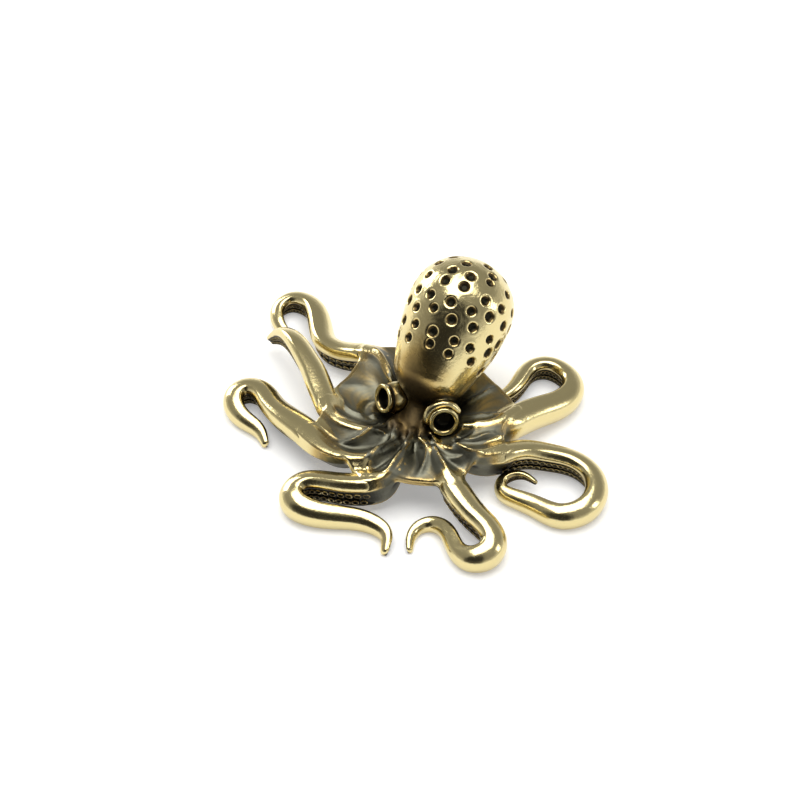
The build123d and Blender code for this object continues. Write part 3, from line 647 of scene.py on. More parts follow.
def new_group(name, sockets):
    """A Geometry Nodes tree, its inputs' identifiers by name, and its input node's sockets."""
    tree = bpy.data.node_groups.new(name, "GeometryNodeTree")
    keys = {}
    for label, kind, value in (("Geometry", "Geometry", None), *sockets,
                               ("Finish", "Material", None)):
        made = tree.interface.new_socket(name=label, in_out="INPUT",
                                         socket_type="NodeSocket" + kind)
        if value is not None:
            made.default_value = value
        keys[label] = made.identifier
    tree.interface.new_socket(name="Geometry", in_out="OUTPUT",
                              socket_type="NodeSocketGeometry")
    return tree, keys, node(tree, "NodeGroupInput", (-1200, 0)).outputs


def close_group(tree, geometry, finish):
    """Realises the instances, sets their material and sends them out of the tree."""
    solid = node(tree, "GeometryNodeRealizeInstances", (1080, 0), {"Geometry": geometry})
    dress = node(tree, "GeometryNodeSetMaterial", (1260, 0),
                 {"Geometry": solid.outputs[0], "Material": finish})
    node(tree, "NodeGroupOutput", (1440, 0), {"Geometry": dress.outputs[0]})


def named_value(tree, name, kind, place):
    return node(tree, "GeometryNodeInputNamedAttribute", place, {"Name": name},
                data_type=kind).outputs["Attribute"]


def sucker_tree():
    """A cup on every point, turned to the point's facing and grown to its span."""
    tree, keys, source = new_group("Sucker rows", (("Cup", "Object", None),
                                                   ("Growth", "Float", 1.0)))
    cup = node(tree, "GeometryNodeObjectInfo", (-380, -160), {"Object": source["Cup"]},
               transform_space="ORIGINAL")
    facing = named_value(tree, "facing", "FLOAT_VECTOR", (-600, -380))
    turn = node(tree, "FunctionNodeAlignRotationToVector", (-380, -380), {"Vector": facing},
                axis="Z")
    span = named_value(tree, "span", "FLOAT", (-600, -560))
    growth = arithmetic(tree, "MULTIPLY", span, source["Growth"], (-380, -560))
    cups = node(tree, "GeometryNodeInstanceOnPoints", (-120, 0), {
        "Points": source["Geometry"], "Instance": cup.outputs["Geometry"],
        "Rotation": turn.outputs["Rotation"], "Scale": growth})
    close_group(tree, cups.outputs["Instances"], source["Finish"])
    return tree, keys


def grown(seed, group, values, name):
    """A plain mesh object from a Geometry Nodes tree on a seed object, which is then removed."""
    tree, keys = group
    modifier = seed.modifiers.new("Shape", "NODES")
    modifier.node_group = tree
    for label, value in values.items():
        modifier[keys[label]] = value
    bpy.context.view_layer.update()
    ready = seed.evaluated_get(bpy.context.evaluated_depsgraph_get())
    mesh = bpy.data.meshes.new_from_object(ready)
    mesh.name = name
    bpy.data.objects.remove(seed)
    return add_object(name, mesh)


# Mantle

def mantle_axis():
    """Middle of the mantle's neck, where its axis points, and the directions across it."""
    tilt, lean = math.radians(MANTLE_TILT), math.radians(MANTLE_LEAN)
    ahead = np.array((math.sin(tilt) * math.sin(lean), math.sin(tilt) * math.cos(lean),
                      math.cos(tilt)))
    side = unit(np.array((1.0, 0.0, 0.0)) - ahead * ahead[0])
    return AXIS + np.array(NECK_PLACE), ahead, side, np.cross(ahead, side)


def mantle_radius(height):
    """Radius of the mantle's profile at heights from its neck, before the pits."""
    height = np.asarray(height, float)
    share = np.clip(height / BELLY_HEIGHT, 0, 1)
    flare = 0.36 * BELLY_HEIGHT
    low = NECK_RADIUS * (2 * share ** 3 - 3 * share ** 2 + 1) \
        + flare * (share ** 3 - 2 * share ** 2 + share) \
        + BELLY_RADIUS * (3 * share ** 2 - 2 * share ** 3)
    dome = np.clip((height - BELLY_HEIGHT) / (CROWN_HEIGHT - BELLY_HEIGHT), 0, 1)
    high = BELLY_RADIUS * np.sqrt(np.maximum(1 - dome ** 2.15, 0))
    return np.where(height < BELLY_HEIGHT, low, high)


def mantle_patina_and_reflection(height, turn):
    """Patina and painted dark reflection on the mantle: brown low on its face, where a dark
    reflection is painted, toned round the neck, polished above.
    """
    off = np.mod(turn + math.radians(96) + math.pi, 2 * math.pi) - math.pi
    # Painted dark reflection: the side of the mantle that faces the front is made browner and
    # darker
    facing = np.exp(-(off / 0.62) ** 2)
    return 0.16 * (1 - eased(height / 4.0)) + 0.42 * facing * (1 - eased(height / 12.0))


def mantle_rings(spacing):
    """Heights, radii and marks of points spaced evenly up the mantle's profile."""
    dome = np.sin(np.linspace(0, math.pi / 2, 900))
    heights = np.concatenate((np.linspace(0, BELLY_HEIGHT, 1200),
                              BELLY_HEIGHT + (CROWN_HEIGHT - BELLY_HEIGHT) * dome))
    radii = mantle_radius(heights)
    marks = np.concatenate(([0], np.cumsum(np.hypot(np.diff(heights), np.diff(radii)))))
    even = np.linspace(0, marks[-1], int(marks[-1] / spacing))
    return np.interp(even, marks, heights), np.interp(even, marks, radii), even


def pit_places():
    """Pits in staggered rows round the mantle, each a little off its place and with its own
    size."""
    heights, radii, marks = mantle_rings(0.05)
    axis = mantle_axis()
    chance = np.random.default_rng(11)
    places, spans = [], []
    for row, (share, count) in enumerate(PIT_ROWS):
        for step in range(count):
            mark = np.interp(share * CROWN_HEIGHT, heights, marks) + chance.uniform(-0.38, 0.38)
            angle = 2 * math.pi * (step + row / 2 + chance.uniform(-0.13, 0.13)) / count
            places.append(round_axis(axis, np.interp(mark, marks, heights),
                                     np.interp(mark, marks, radii), angle))
            spans.append(chance.uniform(0.84, 1.14))
    places.append(round_axis(axis, 16.5, 0.3, 0.0))
    return np.array(places), np.array(spans + [1.0])


def pit_tree():
    """Sinks a rimmed pit in the surface round every point of another object."""
    tree, keys, source = new_group("Pits", (
        ("Pit Points", "Object", None), ("Pit Size", "Float", 1.25 * MM),
        ("Pit Depth", "Float", 0.3 * MM), ("Pit Rim", "Float", 0.05 * MM)))
    centres = node(tree, "GeometryNodeObjectInfo", (-1000, -200), {"Object": source["Pit Points"]},
                   transform_space="ORIGINAL").outputs["Geometry"]
    nearest = node(tree, "GeometryNodeSampleNearest", (-780, -420), {"Geometry": centres},
                   domain="POINT")
    away = node(tree, "GeometryNodeProximity", (-780, -160), {"Geometry": centres},
                target_element="POINTS")
    span = named_value(tree, "span", "FLOAT", (-780, -620))
    own = node(tree, "GeometryNodeSampleIndex", (-560, -420), {
        "Geometry": centres, "Value": span, "Index": nearest.outputs["Index"]},
        data_type="FLOAT", domain="POINT")
    radius = arithmetic(tree, "MULTIPLY", source["Pit Size"], 0.5, (-560, -640))
    radius = arithmetic(tree, "MULTIPLY", radius, own.outputs["Value"], (-380, -500))
    share = arithmetic(tree, "DIVIDE", away.outputs["Distance"], radius, (-200, -200))
    bowl = ranged(tree, share, (0.30, 1.02), (1.0, 0.0), (0, -100), "SMOOTHERSTEP")
    rise = ranged(tree, share, (0.85, 1.12), (0.0, 1.0), (0, -380))
    fall = ranged(tree, share, (1.15, 1.65), (1.0, 0.0), (0, -640))
    lip = arithmetic(tree, "MULTIPLY", rise, fall, (200, -500))
    lip = arithmetic(tree, "MULTIPLY", lip, source["Pit Rim"], (360, -500))
    sink = arithmetic(tree, "MULTIPLY", bowl, source["Pit Depth"], (360, -100))
    sink = arithmetic(tree, "SUBTRACT", lip, sink, (520, -260))
    normal = node(tree, "GeometryNodeInputNormal", (360, 200)).outputs["Normal"]
    move = node(tree, "ShaderNodeVectorMath", (700, -100), {0: normal, "Scale": sink},
                operation="SCALE")
    stain = arithmetic(tree, "MULTIPLY", bowl, 1.5, (360, 560))
    stain = arithmetic(tree, "MAXIMUM", named_value(tree, "patina", "FLOAT", (360, 380)), stain,
                       (540, 380))
    stained = node(tree, "GeometryNodeStoreNamedAttribute", (700, 200), {
        "Name": "patina", "Geometry": source["Geometry"], "Value": stain},
        data_type="FLOAT", domain="POINT")
    shape = node(tree, "GeometryNodeSetPosition", (900, 0), {
        "Geometry": stained.outputs["Geometry"], "Offset": move.outputs["Vector"]})
    close_group(tree, shape.outputs["Geometry"], source["Finish"])
    return tree, keys


# Head and web as one rounded field

class Field:
    """Signed distance on a grid round the body, in millimetres from the body axis."""

    def __init__(self, low, high, step):
        self.low = np.array(low, float)
        self.step = step
        self.counts = np.ceil((np.array(high) - self.low) / step).astype(int) + 1
        self.values = np.full(self.counts, 4.0, np.float32)

    def window(self, low, high):
        """The part of the grid between two corners, and the places of its points."""
        first = np.floor((np.array(low) - self.low) / self.step).astype(int)
        last = np.ceil((np.array(high) - self.low) / self.step).astype(int) + 1
        first, last = (np.clip(ends, 0, self.counts) for ends in (first, last))
        ranges = [self.low[i] + self.step * np.arange(first[i], last[i]) for i in range(3)]
        places = np.stack(np.meshgrid(*ranges, indexing="ij"), axis=-1).astype(np.float32)
        return tuple(slice(a, b) for a, b in zip(first, last)), places

    def merge(self, part, values, reach):
        self.values[part] = smooth_min(self.values[part], values.astype(np.float32), reach)

    def carve(self, part, values, reach):
        self.values[part] = -smooth_min(-self.values[part], values.astype(np.float32), reach)

    def strand(self, points, radii, reach, count=24):
        """A round strand through the points, with its radius between the two ends'."""
        curve, marks = along(points, count)
        sizes = radii[0] + (radii[1] - radii[0]) * marks / marks[-1]
        margin = max(radii) + 1.2
        part, places = self.window(curve.min(0) - margin, curve.max(0) + margin)
        best = np.full(places.shape[:3], 9.0, np.float32)
        for start, end, (share, gap) in zip(sizes, sizes[1:], beside(curve, places)):
            best = np.minimum(best, gap - (start + (end - start) * share))
        self.merge(part, best, reach)

    def read(self, places):
        """Values between the grid's points."""
        at = (places - self.low) / self.step
        cell = np.clip(np.floor(at).astype(int), 0, self.counts - 2)
        t = np.clip(at - cell, 0, 1)
        total = np.zeros(len(places))
        for corner in CORNERS:
            weight = np.prod(np.where(corner, t, 1 - t), axis=1)
            total += weight * self.values[tuple((cell + corner).T)]
        return total

    def surface(self):
        """Points and outward quads of the zero surface, one point for each cell that it crosses."""
        inside = self.values < 0
        total = np.zeros(self.counts - 1, np.int8)
        for corner in CORNERS:
            total += inside[tuple(slice(b, b + n) for b, n in zip(corner, total.shape))]
        cells = np.argwhere((total > 0) & (total < 8))
        ids = np.full(total.shape, -1, np.int64)
        ids[tuple(cells.T)] = np.arange(len(cells))
        sums = np.zeros((len(cells), 3))
        hits = np.zeros(len(cells))
        for first in CORNERS:
            for axis in np.flatnonzero(first == 0):
                run = np.eye(3, dtype=int)[axis]
                v0 = self.values[tuple((cells + first).T)]
                v1 = self.values[tuple((cells + first + run).T)]
                crossing = (v0 < 0) != (v1 < 0)
                t = np.where(crossing, v0 / np.where(crossing, v0 - v1, 1), 0)
                sums[crossing] += (first + t[:, None] * run)[crossing]
                hits[crossing] += 1
        points = self.low + (cells + sums / hits[:, None]) * self.step
        quads = []
        for axis in range(3):
            one, two = (axis + 1) % 3, (axis + 2) % 3
            here, there = [slice(None)] * 3, [slice(None)] * 3
            here[axis], there[axis] = slice(None, -1), slice(1, None)
            spots = np.argwhere(inside[tuple(here)] != inside[tuple(there)])
            for across in (one, two):
                column = spots[:, across]
                spots = spots[(column > 0) & (column < total.shape[across])]
            leaving = inside[tuple(spots.T)]
            ring = []
            for shift in ((-1, -1), (0, -1), (0, 0), (-1, 0)):
                cell = spots.copy()
                cell[:, (one, two)] += shift
                ring.append(ids[tuple(cell.T)])
            ring = np.stack(ring, axis=1)
            quads.append(np.where(leaving[:, None], ring, ring[:, ::-1]))
        return points, np.concatenate(quads)


def root_marks(sizes):
    """Bearing and distance of every arm's root, in order of bearing."""
    marks = []
    for name in ARMS:
        path = arm_path(name, sizes, 0.2)
        x, y, _ = path["centres"][np.searchsorted(path["rows"], BODY_ROWS)] - AXIS
        marks.append((math.atan2(y, x), math.hypot(x, y)))
    return sorted(marks)


def ridge_path(name, sizes, spacing):
    """An arm carried back over the web: a slim ridge, low by the head, that swells to the arm's
    own section at the joint and ends inside the arm."""
    path = arm_path(name, sizes, spacing)
    last = int(np.searchsorted(path["rows"], BODY_ROWS)) + max(1, round(0.6 / spacing))
    ridge = {key: values[:last] for key, values in path.items()}
    rows = ridge["rows"]
    past = rows - BODY_ROWS
    low = 1.5 * (1 - eased(rows / 0.9))
    beyond = 1 - 0.02 * eased((past + 0.4) / 0.4) - 0.07 * np.clip(past * 6, 0, 1)
    ridge["centres"] = ridge["centres"] - AXIS - UP * low[:, None]
    ridge["width"] = ridge["width"] * (0.40 + 0.60 * eased((rows - 1.1) / 1.8)) * beyond
    ridge["depth"] = ridge["depth"] * beyond
    ridge["crest"] = ridge["centres"] + ridge["top"] * (ridge["depth"] * 0.5)[:, None]
    return ridge


def fold_height(x, y):
    """Height of the web's folds over places on the plan."""
    plan = np.stack((x, y), axis=-1)
    fold = np.zeros(x.shape)
    for height, half, points in FOLDS:
        curve, spots = along([(*point, 0.0) for point in points], 40)
        share = spots / spots[-1]
        best = np.full(x.shape, 9.0)
        place = np.zeros(x.shape)
        for start, end, (t, gap) in zip(share, share[1:], beside(curve[:, :2], plan)):
            place = np.where(gap < best, start + t * (end - start), place)
            best = np.minimum(best, gap)
        fade = np.sqrt(np.clip(np.minimum((place + 0.06) * 6, (1.02 - place) * 4), 0, 1))
        fold = np.maximum(fold, height * fade * np.exp(-(best / half) ** 1.3))
    return fold


def web_edge(radius, bearing, sizes):
    """How far out the web reaches: to the arms' roots, with a scallop between each pair."""
    marks = root_marks(sizes)
    edge = np.full(radius.shape, 12.0)
    for (angle, reach), (after_angle, after_reach) in zip(marks, marks[1:] + marks[:1]):
        gap = (after_angle - angle) % (2 * math.pi)
        share = ((bearing - angle) % (2 * math.pi)) / gap
        dip = 1 - np.abs(1 - 2 * np.clip(share, 0, 1)) ** 1.7
        between = reach + (after_reach - reach) * share
        notch = SCALLOP_SHARE * (reach + after_reach) / 2
        edge = np.where(share <= 1, between * (1 - dip) + notch * dip, edge)
    return edge


def add_web(field, sizes):
    """The web: a tent hung between the arms' ridges, deep by the head, folded, with a bib under
    the face, room below the eyes and a rolled thin edge."""
    part, places = field.window(field.low, field.low + field.step * (field.counts - 1))
    x, y = places[:, :, 0, 0], places[:, :, 0, 1]
    radius = np.hypot(x, y)
    edge = web_edge(radius, np.arctan2(y, x), sizes)
    pull_sum, level = np.zeros(x.shape), np.zeros(x.shape)
    nearest = np.full(x.shape, 99.0)
    for name in ARMS:
        for spot in ridge_path(name, sizes, 0.25)["crest"]:
            away = (x - spot[0]) ** 2 + (y - spot[1]) ** 2
            pull = (away + 0.35) ** -2.0
            pull_sum += pull
            level += pull * spot[2]
            nearest = np.minimum(nearest, away)
    by_head = np.exp(-(np.maximum(radius - 3.5, 0) / 3.0) ** 2)
    sag = WEB_SAG + (1.2 - 0.9 * eased((-1.5 - y) / 2.0)) * by_head
    top = level / pull_sum - 0.12 - sag * (1 - np.exp(-nearest / 1.35 ** 2))
    below_eyes = 4.3
    for sign in (-1, 1):
        away = np.hypot(x - sign * 4.7, y + 1.3)
        top = np.minimum(top, below_eyes + 0.9 * np.maximum(away - 1.9, 0))
    bib_top, bib_half = 5.0, 3.0
    bib = bib_top - 0.75 * np.maximum(np.hypot(x, y + 1.0) - 2.2, 0)
    top = -smooth_min(-top, -np.where(np.abs(x) < bib_half, bib, -9.0), 0.5)
    under = top - WEB_THICKNESS
    top = top + fold_height(x, y) + 0.14 * np.exp(-np.abs(edge - radius) / 0.4)
    z = places[..., 2]
    skirt = np.maximum(z - top[:, :, None], under[:, :, None] - z) * 0.75
    outside = ((radius - edge) * 0.9)[:, :, None]
    field.merge(part, -smooth_min(-skirt, -outside, 0.35), 0.3)


def section_place(path, places):
    """For places in space: the nearest mark of a path, how far across and up its section they
    lie, and how far past the mark."""
    best = np.full(places.shape[:-1], 999.0, np.float32)
    index = np.zeros(places.shape[:-1], int)
    for i, centre in enumerate(path["centres"]):
        gap = ((places - centre) ** 2).sum(-1)
        closer = gap < best
        best = np.where(closer, gap, best)
        index = np.where(closer, i, index)
    offset = places - path["centres"][index]
    side, top, ahead = (
        (offset * path[key][index]).sum(-1) for key in ("side", "top", "ahead"))
    return index, side / path["width"][index], top / path["depth"][index], ahead


def add_stub(field, name, sizes):
    """An arm's ridge over the web, up to a little past the joint."""
    path = ridge_path(name, sizes, 0.12)
    margin = 3.4
    part, places = field.window(path["centres"].min(0) - margin, path["centres"].max(0) + margin)
    index, x, y, slip = section_place(path, places)
    w, d = path["width"][index], path["depth"][index]
    upper = np.hypot(np.minimum(x - 0.25, 0) / 0.75, y / 0.5)
    lower = np.hypot(np.minimum(x + 0.1, 0) / 0.4, y / 0.5)
    shell = (np.where(y > 0, upper, lower) - 1) * np.minimum(0.5 * d, 0.62 * w)
    face = ((x - 0.25) * 3 - (y + 0.5)) / math.sqrt(10) * w * 0.95
    lip = ((x - 0.25) + (y - 0.5)) / math.sqrt(2) * w
    body = np.maximum(np.maximum(shell, face), lip)
    ends = (index == 0) | (index == len(path["rows"]) - 1)
    body = np.where(ends, np.maximum(body, np.abs(slip) - 0.06), body)
    field.merge(part, body, 0.4)


def eye_axis(sign):
    """Middle of an eye's mouth, where the eye looks, and the directions right and over."""
    turn, rise = math.radians(EYE_TURN), math.radians(EYE_RISE)
    look = np.array((sign * math.sin(turn) * math.cos(rise), -math.cos(turn) * math.cos(rise),
                     math.sin(rise)))
    right = unit(np.cross(UP, look))
    return AXIS + np.array(EYE_PLACE) * (sign, 1, 1), look, right, np.cross(look, right)


def eye_lid():
    """Crest of the lid over the right eye, from the body axis."""
    behind_mouth = -1.15
    angles = np.radians(np.linspace(25, 185, 7))
    return round_axis(eye_axis(1), behind_mouth, EYE_RADIUS, angles) - AXIS


def from_axis(axis, places):
    """Offsets of places from an axis's origin, their heights along it and distances from it."""
    origin, ahead, _, _ = axis
    offset = places - (origin - AXIS)
    height = offset @ ahead
    return offset, height, np.linalg.norm(offset - height[..., None] * ahead, axis=-1)


def add_head(field):
    """The head: the mantle's neck narrowing to a face between the eyes, with a lid over one eye."""
    face_end, neck_end = -6.0, 0.9
    part, places = field.window((-6.5, -6, 0), (6.5, 9, BODY_HIGH[2]))
    _, height, spread = from_axis(mantle_axis(), places)
    back = np.clip(-height, 0, 9)
    radius = NECK_RADIUS + np.where(height > 0, 0.30 * height, -0.36 * back - 0.20 * back ** 2)
    cone = np.maximum((spread - np.maximum(radius, 0.6)) * 0.9,
                      np.maximum(face_end - height, height - neck_end))
    field.merge(part, cone, 0.5)
    field.strand(((0.0, 3.0, 6.4), (0.0, 1.2, 4.8), (0.0, -1.0, 3.9)), (2.8, 2.0), 0.6, 8)
    room, barrel = EYE_RADIUS + 0.1, 2.9
    for sign, past_mouth in ((-1, 0.3), (1, 2.4)):
        mouth = eye_axis(sign)[0] - AXIS
        part, places = field.window(mouth - 5.5, mouth + 5.5)
        _, run, spread = from_axis(eye_axis(sign), places)
        clear = np.maximum(spread - room, np.maximum(-run - barrel, run - past_mouth))
        field.carve(part, clear, 0.3)
    field.strand(eye_lid(), (0.42, 0.60), 0.2, 18)


def arm_shade(across, up):
    """How dark a place on an arm's section is painted: patina on the sucker side and painted shade
    on the underside.
    """
    sucker = 1.3 * eased((across - 0.26) / 0.07) * eased((0.27 - up) / 0.08)
    # The lowest part of the section is darker: painted shade
    return np.maximum(sucker, 0.45 * eased((-up - 0.25) / 0.2))


def body_patina_and_shade(field, points, quads, sizes):
    """Patina and painted shade of the head and web: dark where the surface is sheltered, darker
    where it faces down as painted shade, bright on its crests, as on the arms near their joints
    with their painted shade and as on the mantle near the neck with its painted dark reflection,
    and the share of the face."""
    normals = vertex_normals(points, quads)
    shelter, crest = np.zeros(len(points)), np.zeros(len(points))
    for reach, weight in ((0.35, 0.35), (0.8, 0.35), (1.6, 0.3)):
        shelter += weight * np.clip(1 - field.read(points + normals * reach) / reach, 0, 1)
    for reach in (0.3, 0.55):
        crest += 0.5 * np.clip(1 + field.read(points - normals * reach) / reach, 0, 1)
    # The term on the downward normal darkens the undersides: painted shade
    patina = 0.92 + 0.2 * np.clip(-normals[:, 2], 0, 1) + 0.9 * shelter - 1.8 * crest
    for name in ARMS:
        path = ridge_path(name, sizes, 0.3)
        index, across, up, _ = section_place(path, points)
        near = (np.abs(across) < 0.66) & (np.abs(up) < 0.66)
        share = eased((path["rows"][index] - 1.9) / 0.9) * near
        patina = patina * (1 - share) + arm_shade(across, up) * share
        gap = np.linalg.norm(points - path["crest"][index], axis=1)
        patina -= 0.9 * np.exp(-(gap / 0.42) ** 2) * eased(path["rows"][index] / 1.2)
    for spot in eye_lid():
        patina -= 0.9 * np.exp(-(np.linalg.norm(points - spot, axis=1) / 0.9) ** 2)
    # Near the neck the head takes the mantle's patina and painted dark reflection
    _, _, side, below = mantle_axis()
    offset, height, spread = from_axis(mantle_axis(), points)
    turn = np.arctan2(offset @ below, offset @ side)
    share = eased((height + 2.4) / 2.2) * (spread < 5.4)
    patina = patina * (1 - share) + mantle_patina_and_reflection(height, turn) * share
    # Round the chin the head takes the face's brown of patina and painted dark reflection
    chin = eased((4.6 - np.hypot(points[:, 0], points[:, 1] + 0.5)) / 1.6)
    return {"patina": np.clip(patina, 0, 1.5), "face": np.maximum(share, chin)}


def build_body(sizes, material):
    """The head with the web, cut from one field."""
    step = sizes.body_step / MM * 1
    field = Field(BODY_LOW, BODY_HIGH, step)
    add_web(field, sizes)
    for name in ARMS:
        add_stub(field, name, sizes)
    for first, last, points in STRANDS:
        field.strand(points, (first, last), 0.45)
    add_head(field)
    field.values -= 0.03
    points, quads = field.surface()
    points = relaxed(points, quads, 2)
    piece = new_piece("cast_head_and_web", points + AXIS, quads, material,
                      body_patina_and_shade(field, points, quads, sizes))
    return finish_piece(piece, "head_and_web")


def relaxed(points, quads, rounds):
    """Points moved towards the middle of their neighbours, to even out the grid's steps."""
    for _ in range(rounds):
        sums = np.zeros_like(points)
        counts = np.zeros(len(points))
        for corner in range(4):
            here, there = quads[:, corner], quads[:, (corner + 1) % 4]
            for a, b in ((here, there), (there, here)):
                np.add.at(sums, a, points[b])
                np.add.at(counts, a, 1)
        points = points * 0.5 + 0.5 * sums / np.maximum(counts, 1)[:, None]
    return points


def vertex_normals(points, quads):
    a, b, c, d = (points[quads[:, corner]] for corner in range(4))
    face = np.cross(c - a, d - b)
    normals = np.zeros_like(points)
    for corner in range(4):
        np.add.at(normals, quads[:, corner], face)
    return unit(normals)


# Eyes

def build_eye(name, sign, material):
    """A short barrel with a rounded ring at its mouth and a deep dark bore."""
    radii, depths, shades = np.array(EYE_PROFILE).T
    around = 64
    piece = turned_piece("cast_" + name, eye_axis(sign), depths, radii, around, (-1.72, -4.4),
                         np.append(np.repeat(shades, around), (1.0, 0.5)), material)
    return finish_piece(piece, name)


# Operators

class OCTOPUS_OT_arms(bpy.types.Operator):
    """Makes the eight arms, each one swept along its curled route"""
    bl_idname = "octopus.arms"
    bl_label = "Arms"

    def execute(self, context):
        scene = context.scene
        material = antique_brass("arm_brass", scene.octopus_finish, (0.05, 0.045, 0.03),
                                 1.6 * MM, 0.35)
        for name in ARMS:
            build_arm(name, scene.octopus_sizes, material)
        return {"FINISHED"}


class OCTOPUS_OT_suckers(bpy.types.Operator):
    """Makes two rows of suckers on the inside of every arm"""
    bl_idname = "octopus.suckers"
    bl_label = "Suckers"

    def execute(self, context):
        scene = context.scene
        material = antique_brass("sucker_brass", scene.octopus_finish, (0.06, 0.055, 0.035),
                                 0.8 * MM, 0.3)
        places, facings, spans = sucker_points(scene.octopus_sizes)
        seed = new_piece("sucker_points", places, [], material, {"span": spans * MM})
        facing = seed.data.attributes.new("facing", "FLOAT_VECTOR", "POINT")
        facing.data.foreach_set("vector", facings.astype(np.float32).ravel())
        cup = sucker_cup(material)
        piece = grown(seed, sucker_tree(), {"Cup": cup, "Growth": 1.0, "Finish": material},
                      "suckers")
        bpy.data.objects.remove(cup)
        for vertex in piece.data.vertices:
            vertex.co.z = max(vertex.co.z, 0.0)
        piece.data.shade_smooth()
        finish_piece(piece)
        return {"FINISHED"}


class OCTOPUS_OT_mantle(bpy.types.Operator):
    """Makes the mantle, an egg on a tilted axis with about a hundred rimmed pits"""
    bl_idname = "octopus.mantle"
    bl_label = "Mantle"

    def execute(self, context):
        scene = context.scene
        sizes = scene.octopus_sizes
        material = antique_brass("mantle_brass", scene.octopus_finish, FACE_PATINA_AND_REFLECTION, 1.2 * MM, 0.45)
        spacing, around = ((0.12, 340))
        heights, radii, _ = mantle_rings(spacing)
        heights = np.concatenate(((-0.6, -0.3), heights[:-1]))
        radii = np.concatenate(((4.64, 4.77), radii[:-1]))
        angles = 2 * math.pi * np.arange(around) / around
        # Patina and painted dark reflection of the mantle, ring by ring
        tone = np.append(mantle_patina_and_reflection(heights[:, None], angles),
                         mantle_patina_and_reflection(np.array((16.5, 0.0)), 0.0))
        seed = turned_piece("mantle_blank", mantle_axis(), heights, radii, around,
                            (CROWN_HEIGHT, heights[0]), tone, material)
        places, spans = pit_places()
        pits = new_piece("pit_points", places, [], material, {"span": spans})
        piece = grown(seed, pit_tree(), {
            "Pit Points": pits, "Pit Size": sizes.pit_size, "Pit Depth": sizes.pit_depth,
            "Pit Rim": sizes.pit_rim, "Finish": material}, "cast_mantle")
        bpy.data.objects.remove(pits)
        piece.data.shade_smooth()
        finish_piece(piece, "mantle")
        return {"FINISHED"}


class OCTOPUS_OT_eyes(bpy.types.Operator):
    """Makes the two eye tubes"""
    bl_idname = "octopus.eyes"
    bl_label = "Eyes"

    def execute(self, context):
        material = antique_brass("eye_brass", context.scene.octopus_finish, (0.03, 0.026, 0.02),
                                 1.0 * MM, 0.3)
        build_eye("eye_left", -1, material)
        build_eye("eye_right", 1, material)
        return {"FINISHED"}


class OCTOPUS_OT_head_and_web(bpy.types.Operator):
    """Makes the head with a lid over one eye and the folded web with the arms' ridges"""
    bl_idname = "octopus.head_and_web"
    bl_label = "Head and web"

    def execute(self, context):
        finish = context.scene.octopus_finish
        material = antique_brass("web_brass", finish, finish.web_patina, 2.2 * MM, 0.55)
        build_body(context.scene.octopus_sizes, material)
        return {"FINISHED"}


# Stage

def add_camera(studio, centre):
    turn, rise = studio.azimuth, studio.elevation
    right = Vector((math.cos(turn), math.sin(turn), 0))
    back = Vector((math.sin(turn) * math.cos(rise), -math.cos(turn) * math.cos(rise),
                   math.sin(rise)))
    over = back.cross(right)
    target = centre + right * studio.aim_right + over * studio.aim_up
    lens = bpy.data.cameras.new("camera")
    lens.lens = studio.lens
    lens.sensor_width = 36
    lens.dof.use_dof = False
    camera = add_object("camera", lens)
    camera.matrix_world = Matrix.Translation(target + back * studio.distance) @ Matrix(
        (right, over, back)).transposed().to_4x4()
    bpy.context.scene.camera = camera


def add_floor(studio):
    """A pale sheet that is plain white where the camera sees it, and keeps the shadow."""
    floor = bpy.data.materials.new("floor_paper")
    floor.use_nodes = True
    tree = floor.node_tree
    tree.nodes.clear()
    matte = node(tree, "ShaderNodeBsdfDiffuse", (0, 0), {"Color": (*studio.floor_tone, 1)})
    rays = node(tree, "ShaderNodeLightPath", (-400, 0)).outputs
    seen = arithmetic(tree, "MAXIMUM", rays["Is Camera Ray"], rays["Is Glossy Ray"], (-200, -60))
    seen = arithmetic(tree, "MAXIMUM", seen, rays["Is Transmission Ray"], (-100, -60))
    spot = node(tree, "ShaderNodeTexCoord", (-700, -420)).outputs["Object"]
    away = node(tree, "ShaderNodeVectorMath", (-520, -420), {0: spot}, operation="LENGTH")
    sweep = ranged(tree, away.outputs["Value"], (0.08, 0.60), (0.30, 0.85), (-340, -420))
    glow = node(tree, "ShaderNodeEmission", (0, -160), {
        "Strength": arithmetic(tree, "MULTIPLY", seen, sweep, (-60, -240))})
    both = node(tree, "ShaderNodeAddShader", (200, 0), {0: matte.outputs[0], 1: glow.outputs[0]})
    node(tree, "ShaderNodeOutputMaterial", (400, 0), {"Surface": both.outputs[0]})
    mesh = bpy.data.meshes.new("floor")
    half = 1.2
    mesh.from_pydata([(-half, -half, 0), (half, -half, 0), (half, half, 0), (-half, half, 0)],
                     [], [(0, 1, 2, 3)])
    mesh.materials.append(floor)
    add_object("floor", mesh)


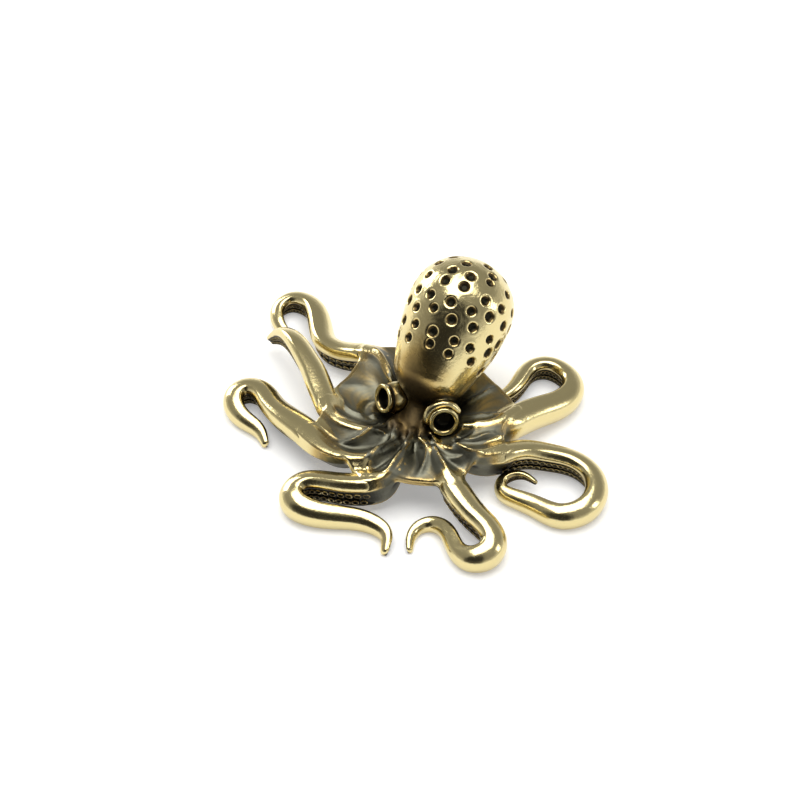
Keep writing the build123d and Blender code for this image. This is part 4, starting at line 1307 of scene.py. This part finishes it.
def set_world(studio):
    """Pale air, brighter low down, with a dark screen round the camera for the metal to mirror."""
    world = bpy.data.worlds.new("studio")
    bpy.context.scene.world = world
    world.use_nodes = True
    tree = world.node_tree
    tree.nodes.clear()
    place = node(tree, "ShaderNodeTexCoord", (-900, 0)).outputs["Generated"]
    height = node(tree, "ShaderNodeSeparateXYZ", (-720, 0), {0: place}).outputs["Z"]
    fade = ranged(tree, height, (0.08, 0.42), (0.85, 0.42), (-520, 0))
    toward = node(tree, "ShaderNodeVectorMath", (-720, 220), {0: place, 1: studio.dark_side},
                  operation="DOT_PRODUCT").outputs["Value"]
    screen = ranged(tree, toward, (0.68, 0.90), (1.0, 0.10), (-520, 260))
    level = arithmetic(tree, "MULTIPLY", fade, screen, (-340, 160))
    seen = node(tree, "ShaderNodeLightPath", (-720, -260)).outputs["Is Camera Ray"]
    white = node(tree, "ShaderNodeMix", (-300, 0), {0: seen, 2: level, 3: 1.0},
                 data_type="FLOAT")
    air = node(tree, "ShaderNodeBackground", (-100, 0), {"Strength": white.outputs[0]})
    node(tree, "ShaderNodeOutputWorld", (100, 0), {"Surface": air.outputs[0]})


def softbox(name, place, aim, width, height, power, tone):
    lamp = bpy.data.lights.new(name, "AREA")
    lamp.shape = "RECTANGLE"
    lamp.size = width
    lamp.size_y = height
    lamp.energy = power
    lamp.color = tone
    light = add_object(name, lamp)
    light.location = place
    light.rotation_euler = (aim - Vector(place)).to_track_quat("-Z", "Y").to_euler()


class OCTOPUS_OT_stage(bpy.types.Operator):
    """Sets the camera, a plain pale floor and soft studio light"""
    bl_idname = "octopus.stage"
    bl_label = "Stage"

    def execute(self, context):
        studio = context.scene.octopus_studio
        centre = Vector(AXIS) * MM
        add_camera(studio, centre)
        add_floor(studio)
        set_world(studio)
        aim = centre + Vector((0, 0, 0.008))
        for name, place, width, height, power, tone in LAMPS:
            softbox(name, place, aim, width, height, power * studio.lamp_power, tone)
        context.scene.view_settings.view_transform = "Standard"
        return {"FINISHED"}


class OCTOPUS_PT_panel(bpy.types.Panel):
    """Lists the figurine's pieces"""
    bl_idname = "OCTOPUS_PT_panel"
    bl_label = "Octopus figurine"
    bl_space_type = "VIEW_3D"
    bl_region_type = "UI"
    bl_category = "Octopus"

    def draw(self, context):
        scene = context.scene
        for step in STEPS:
            self.layout.operator(step.bl_idname)
        for settings in (scene.octopus_sizes, scene.octopus_finish, scene.octopus_studio):
            box = self.layout.box()
            for key in settings.__annotations__:
                box.prop(settings, key)


STEPS = (OCTOPUS_OT_stage, OCTOPUS_OT_arms, OCTOPUS_OT_suckers, OCTOPUS_OT_mantle,
         OCTOPUS_OT_eyes, OCTOPUS_OT_head_and_web)
CLASSES = (OctopusSizes, OctopusFinish, OctopusStudio, *STEPS, OCTOPUS_PT_panel)


def register():
    for kind in CLASSES:
        bpy.utils.register_class(kind)
    bpy.types.Scene.octopus_sizes = bpy.props.PointerProperty(type=OctopusSizes)
    bpy.types.Scene.octopus_finish = bpy.props.PointerProperty(type=OctopusFinish)
    bpy.types.Scene.octopus_studio = bpy.props.PointerProperty(type=OctopusStudio)


def unregister():
    del bpy.types.Scene.octopus_studio
    del bpy.types.Scene.octopus_finish
    del bpy.types.Scene.octopus_sizes
    for kind in reversed(CLASSES):
        bpy.utils.unregister_class(kind)


def main():
    register()
    bpy.ops.octopus.stage()
    bpy.ops.octopus.arms()
    bpy.ops.octopus.suckers()
    bpy.ops.octopus.mantle()
    bpy.ops.octopus.eyes()
    bpy.ops.octopus.head_and_web()


if __name__ == "__main__":
    main()
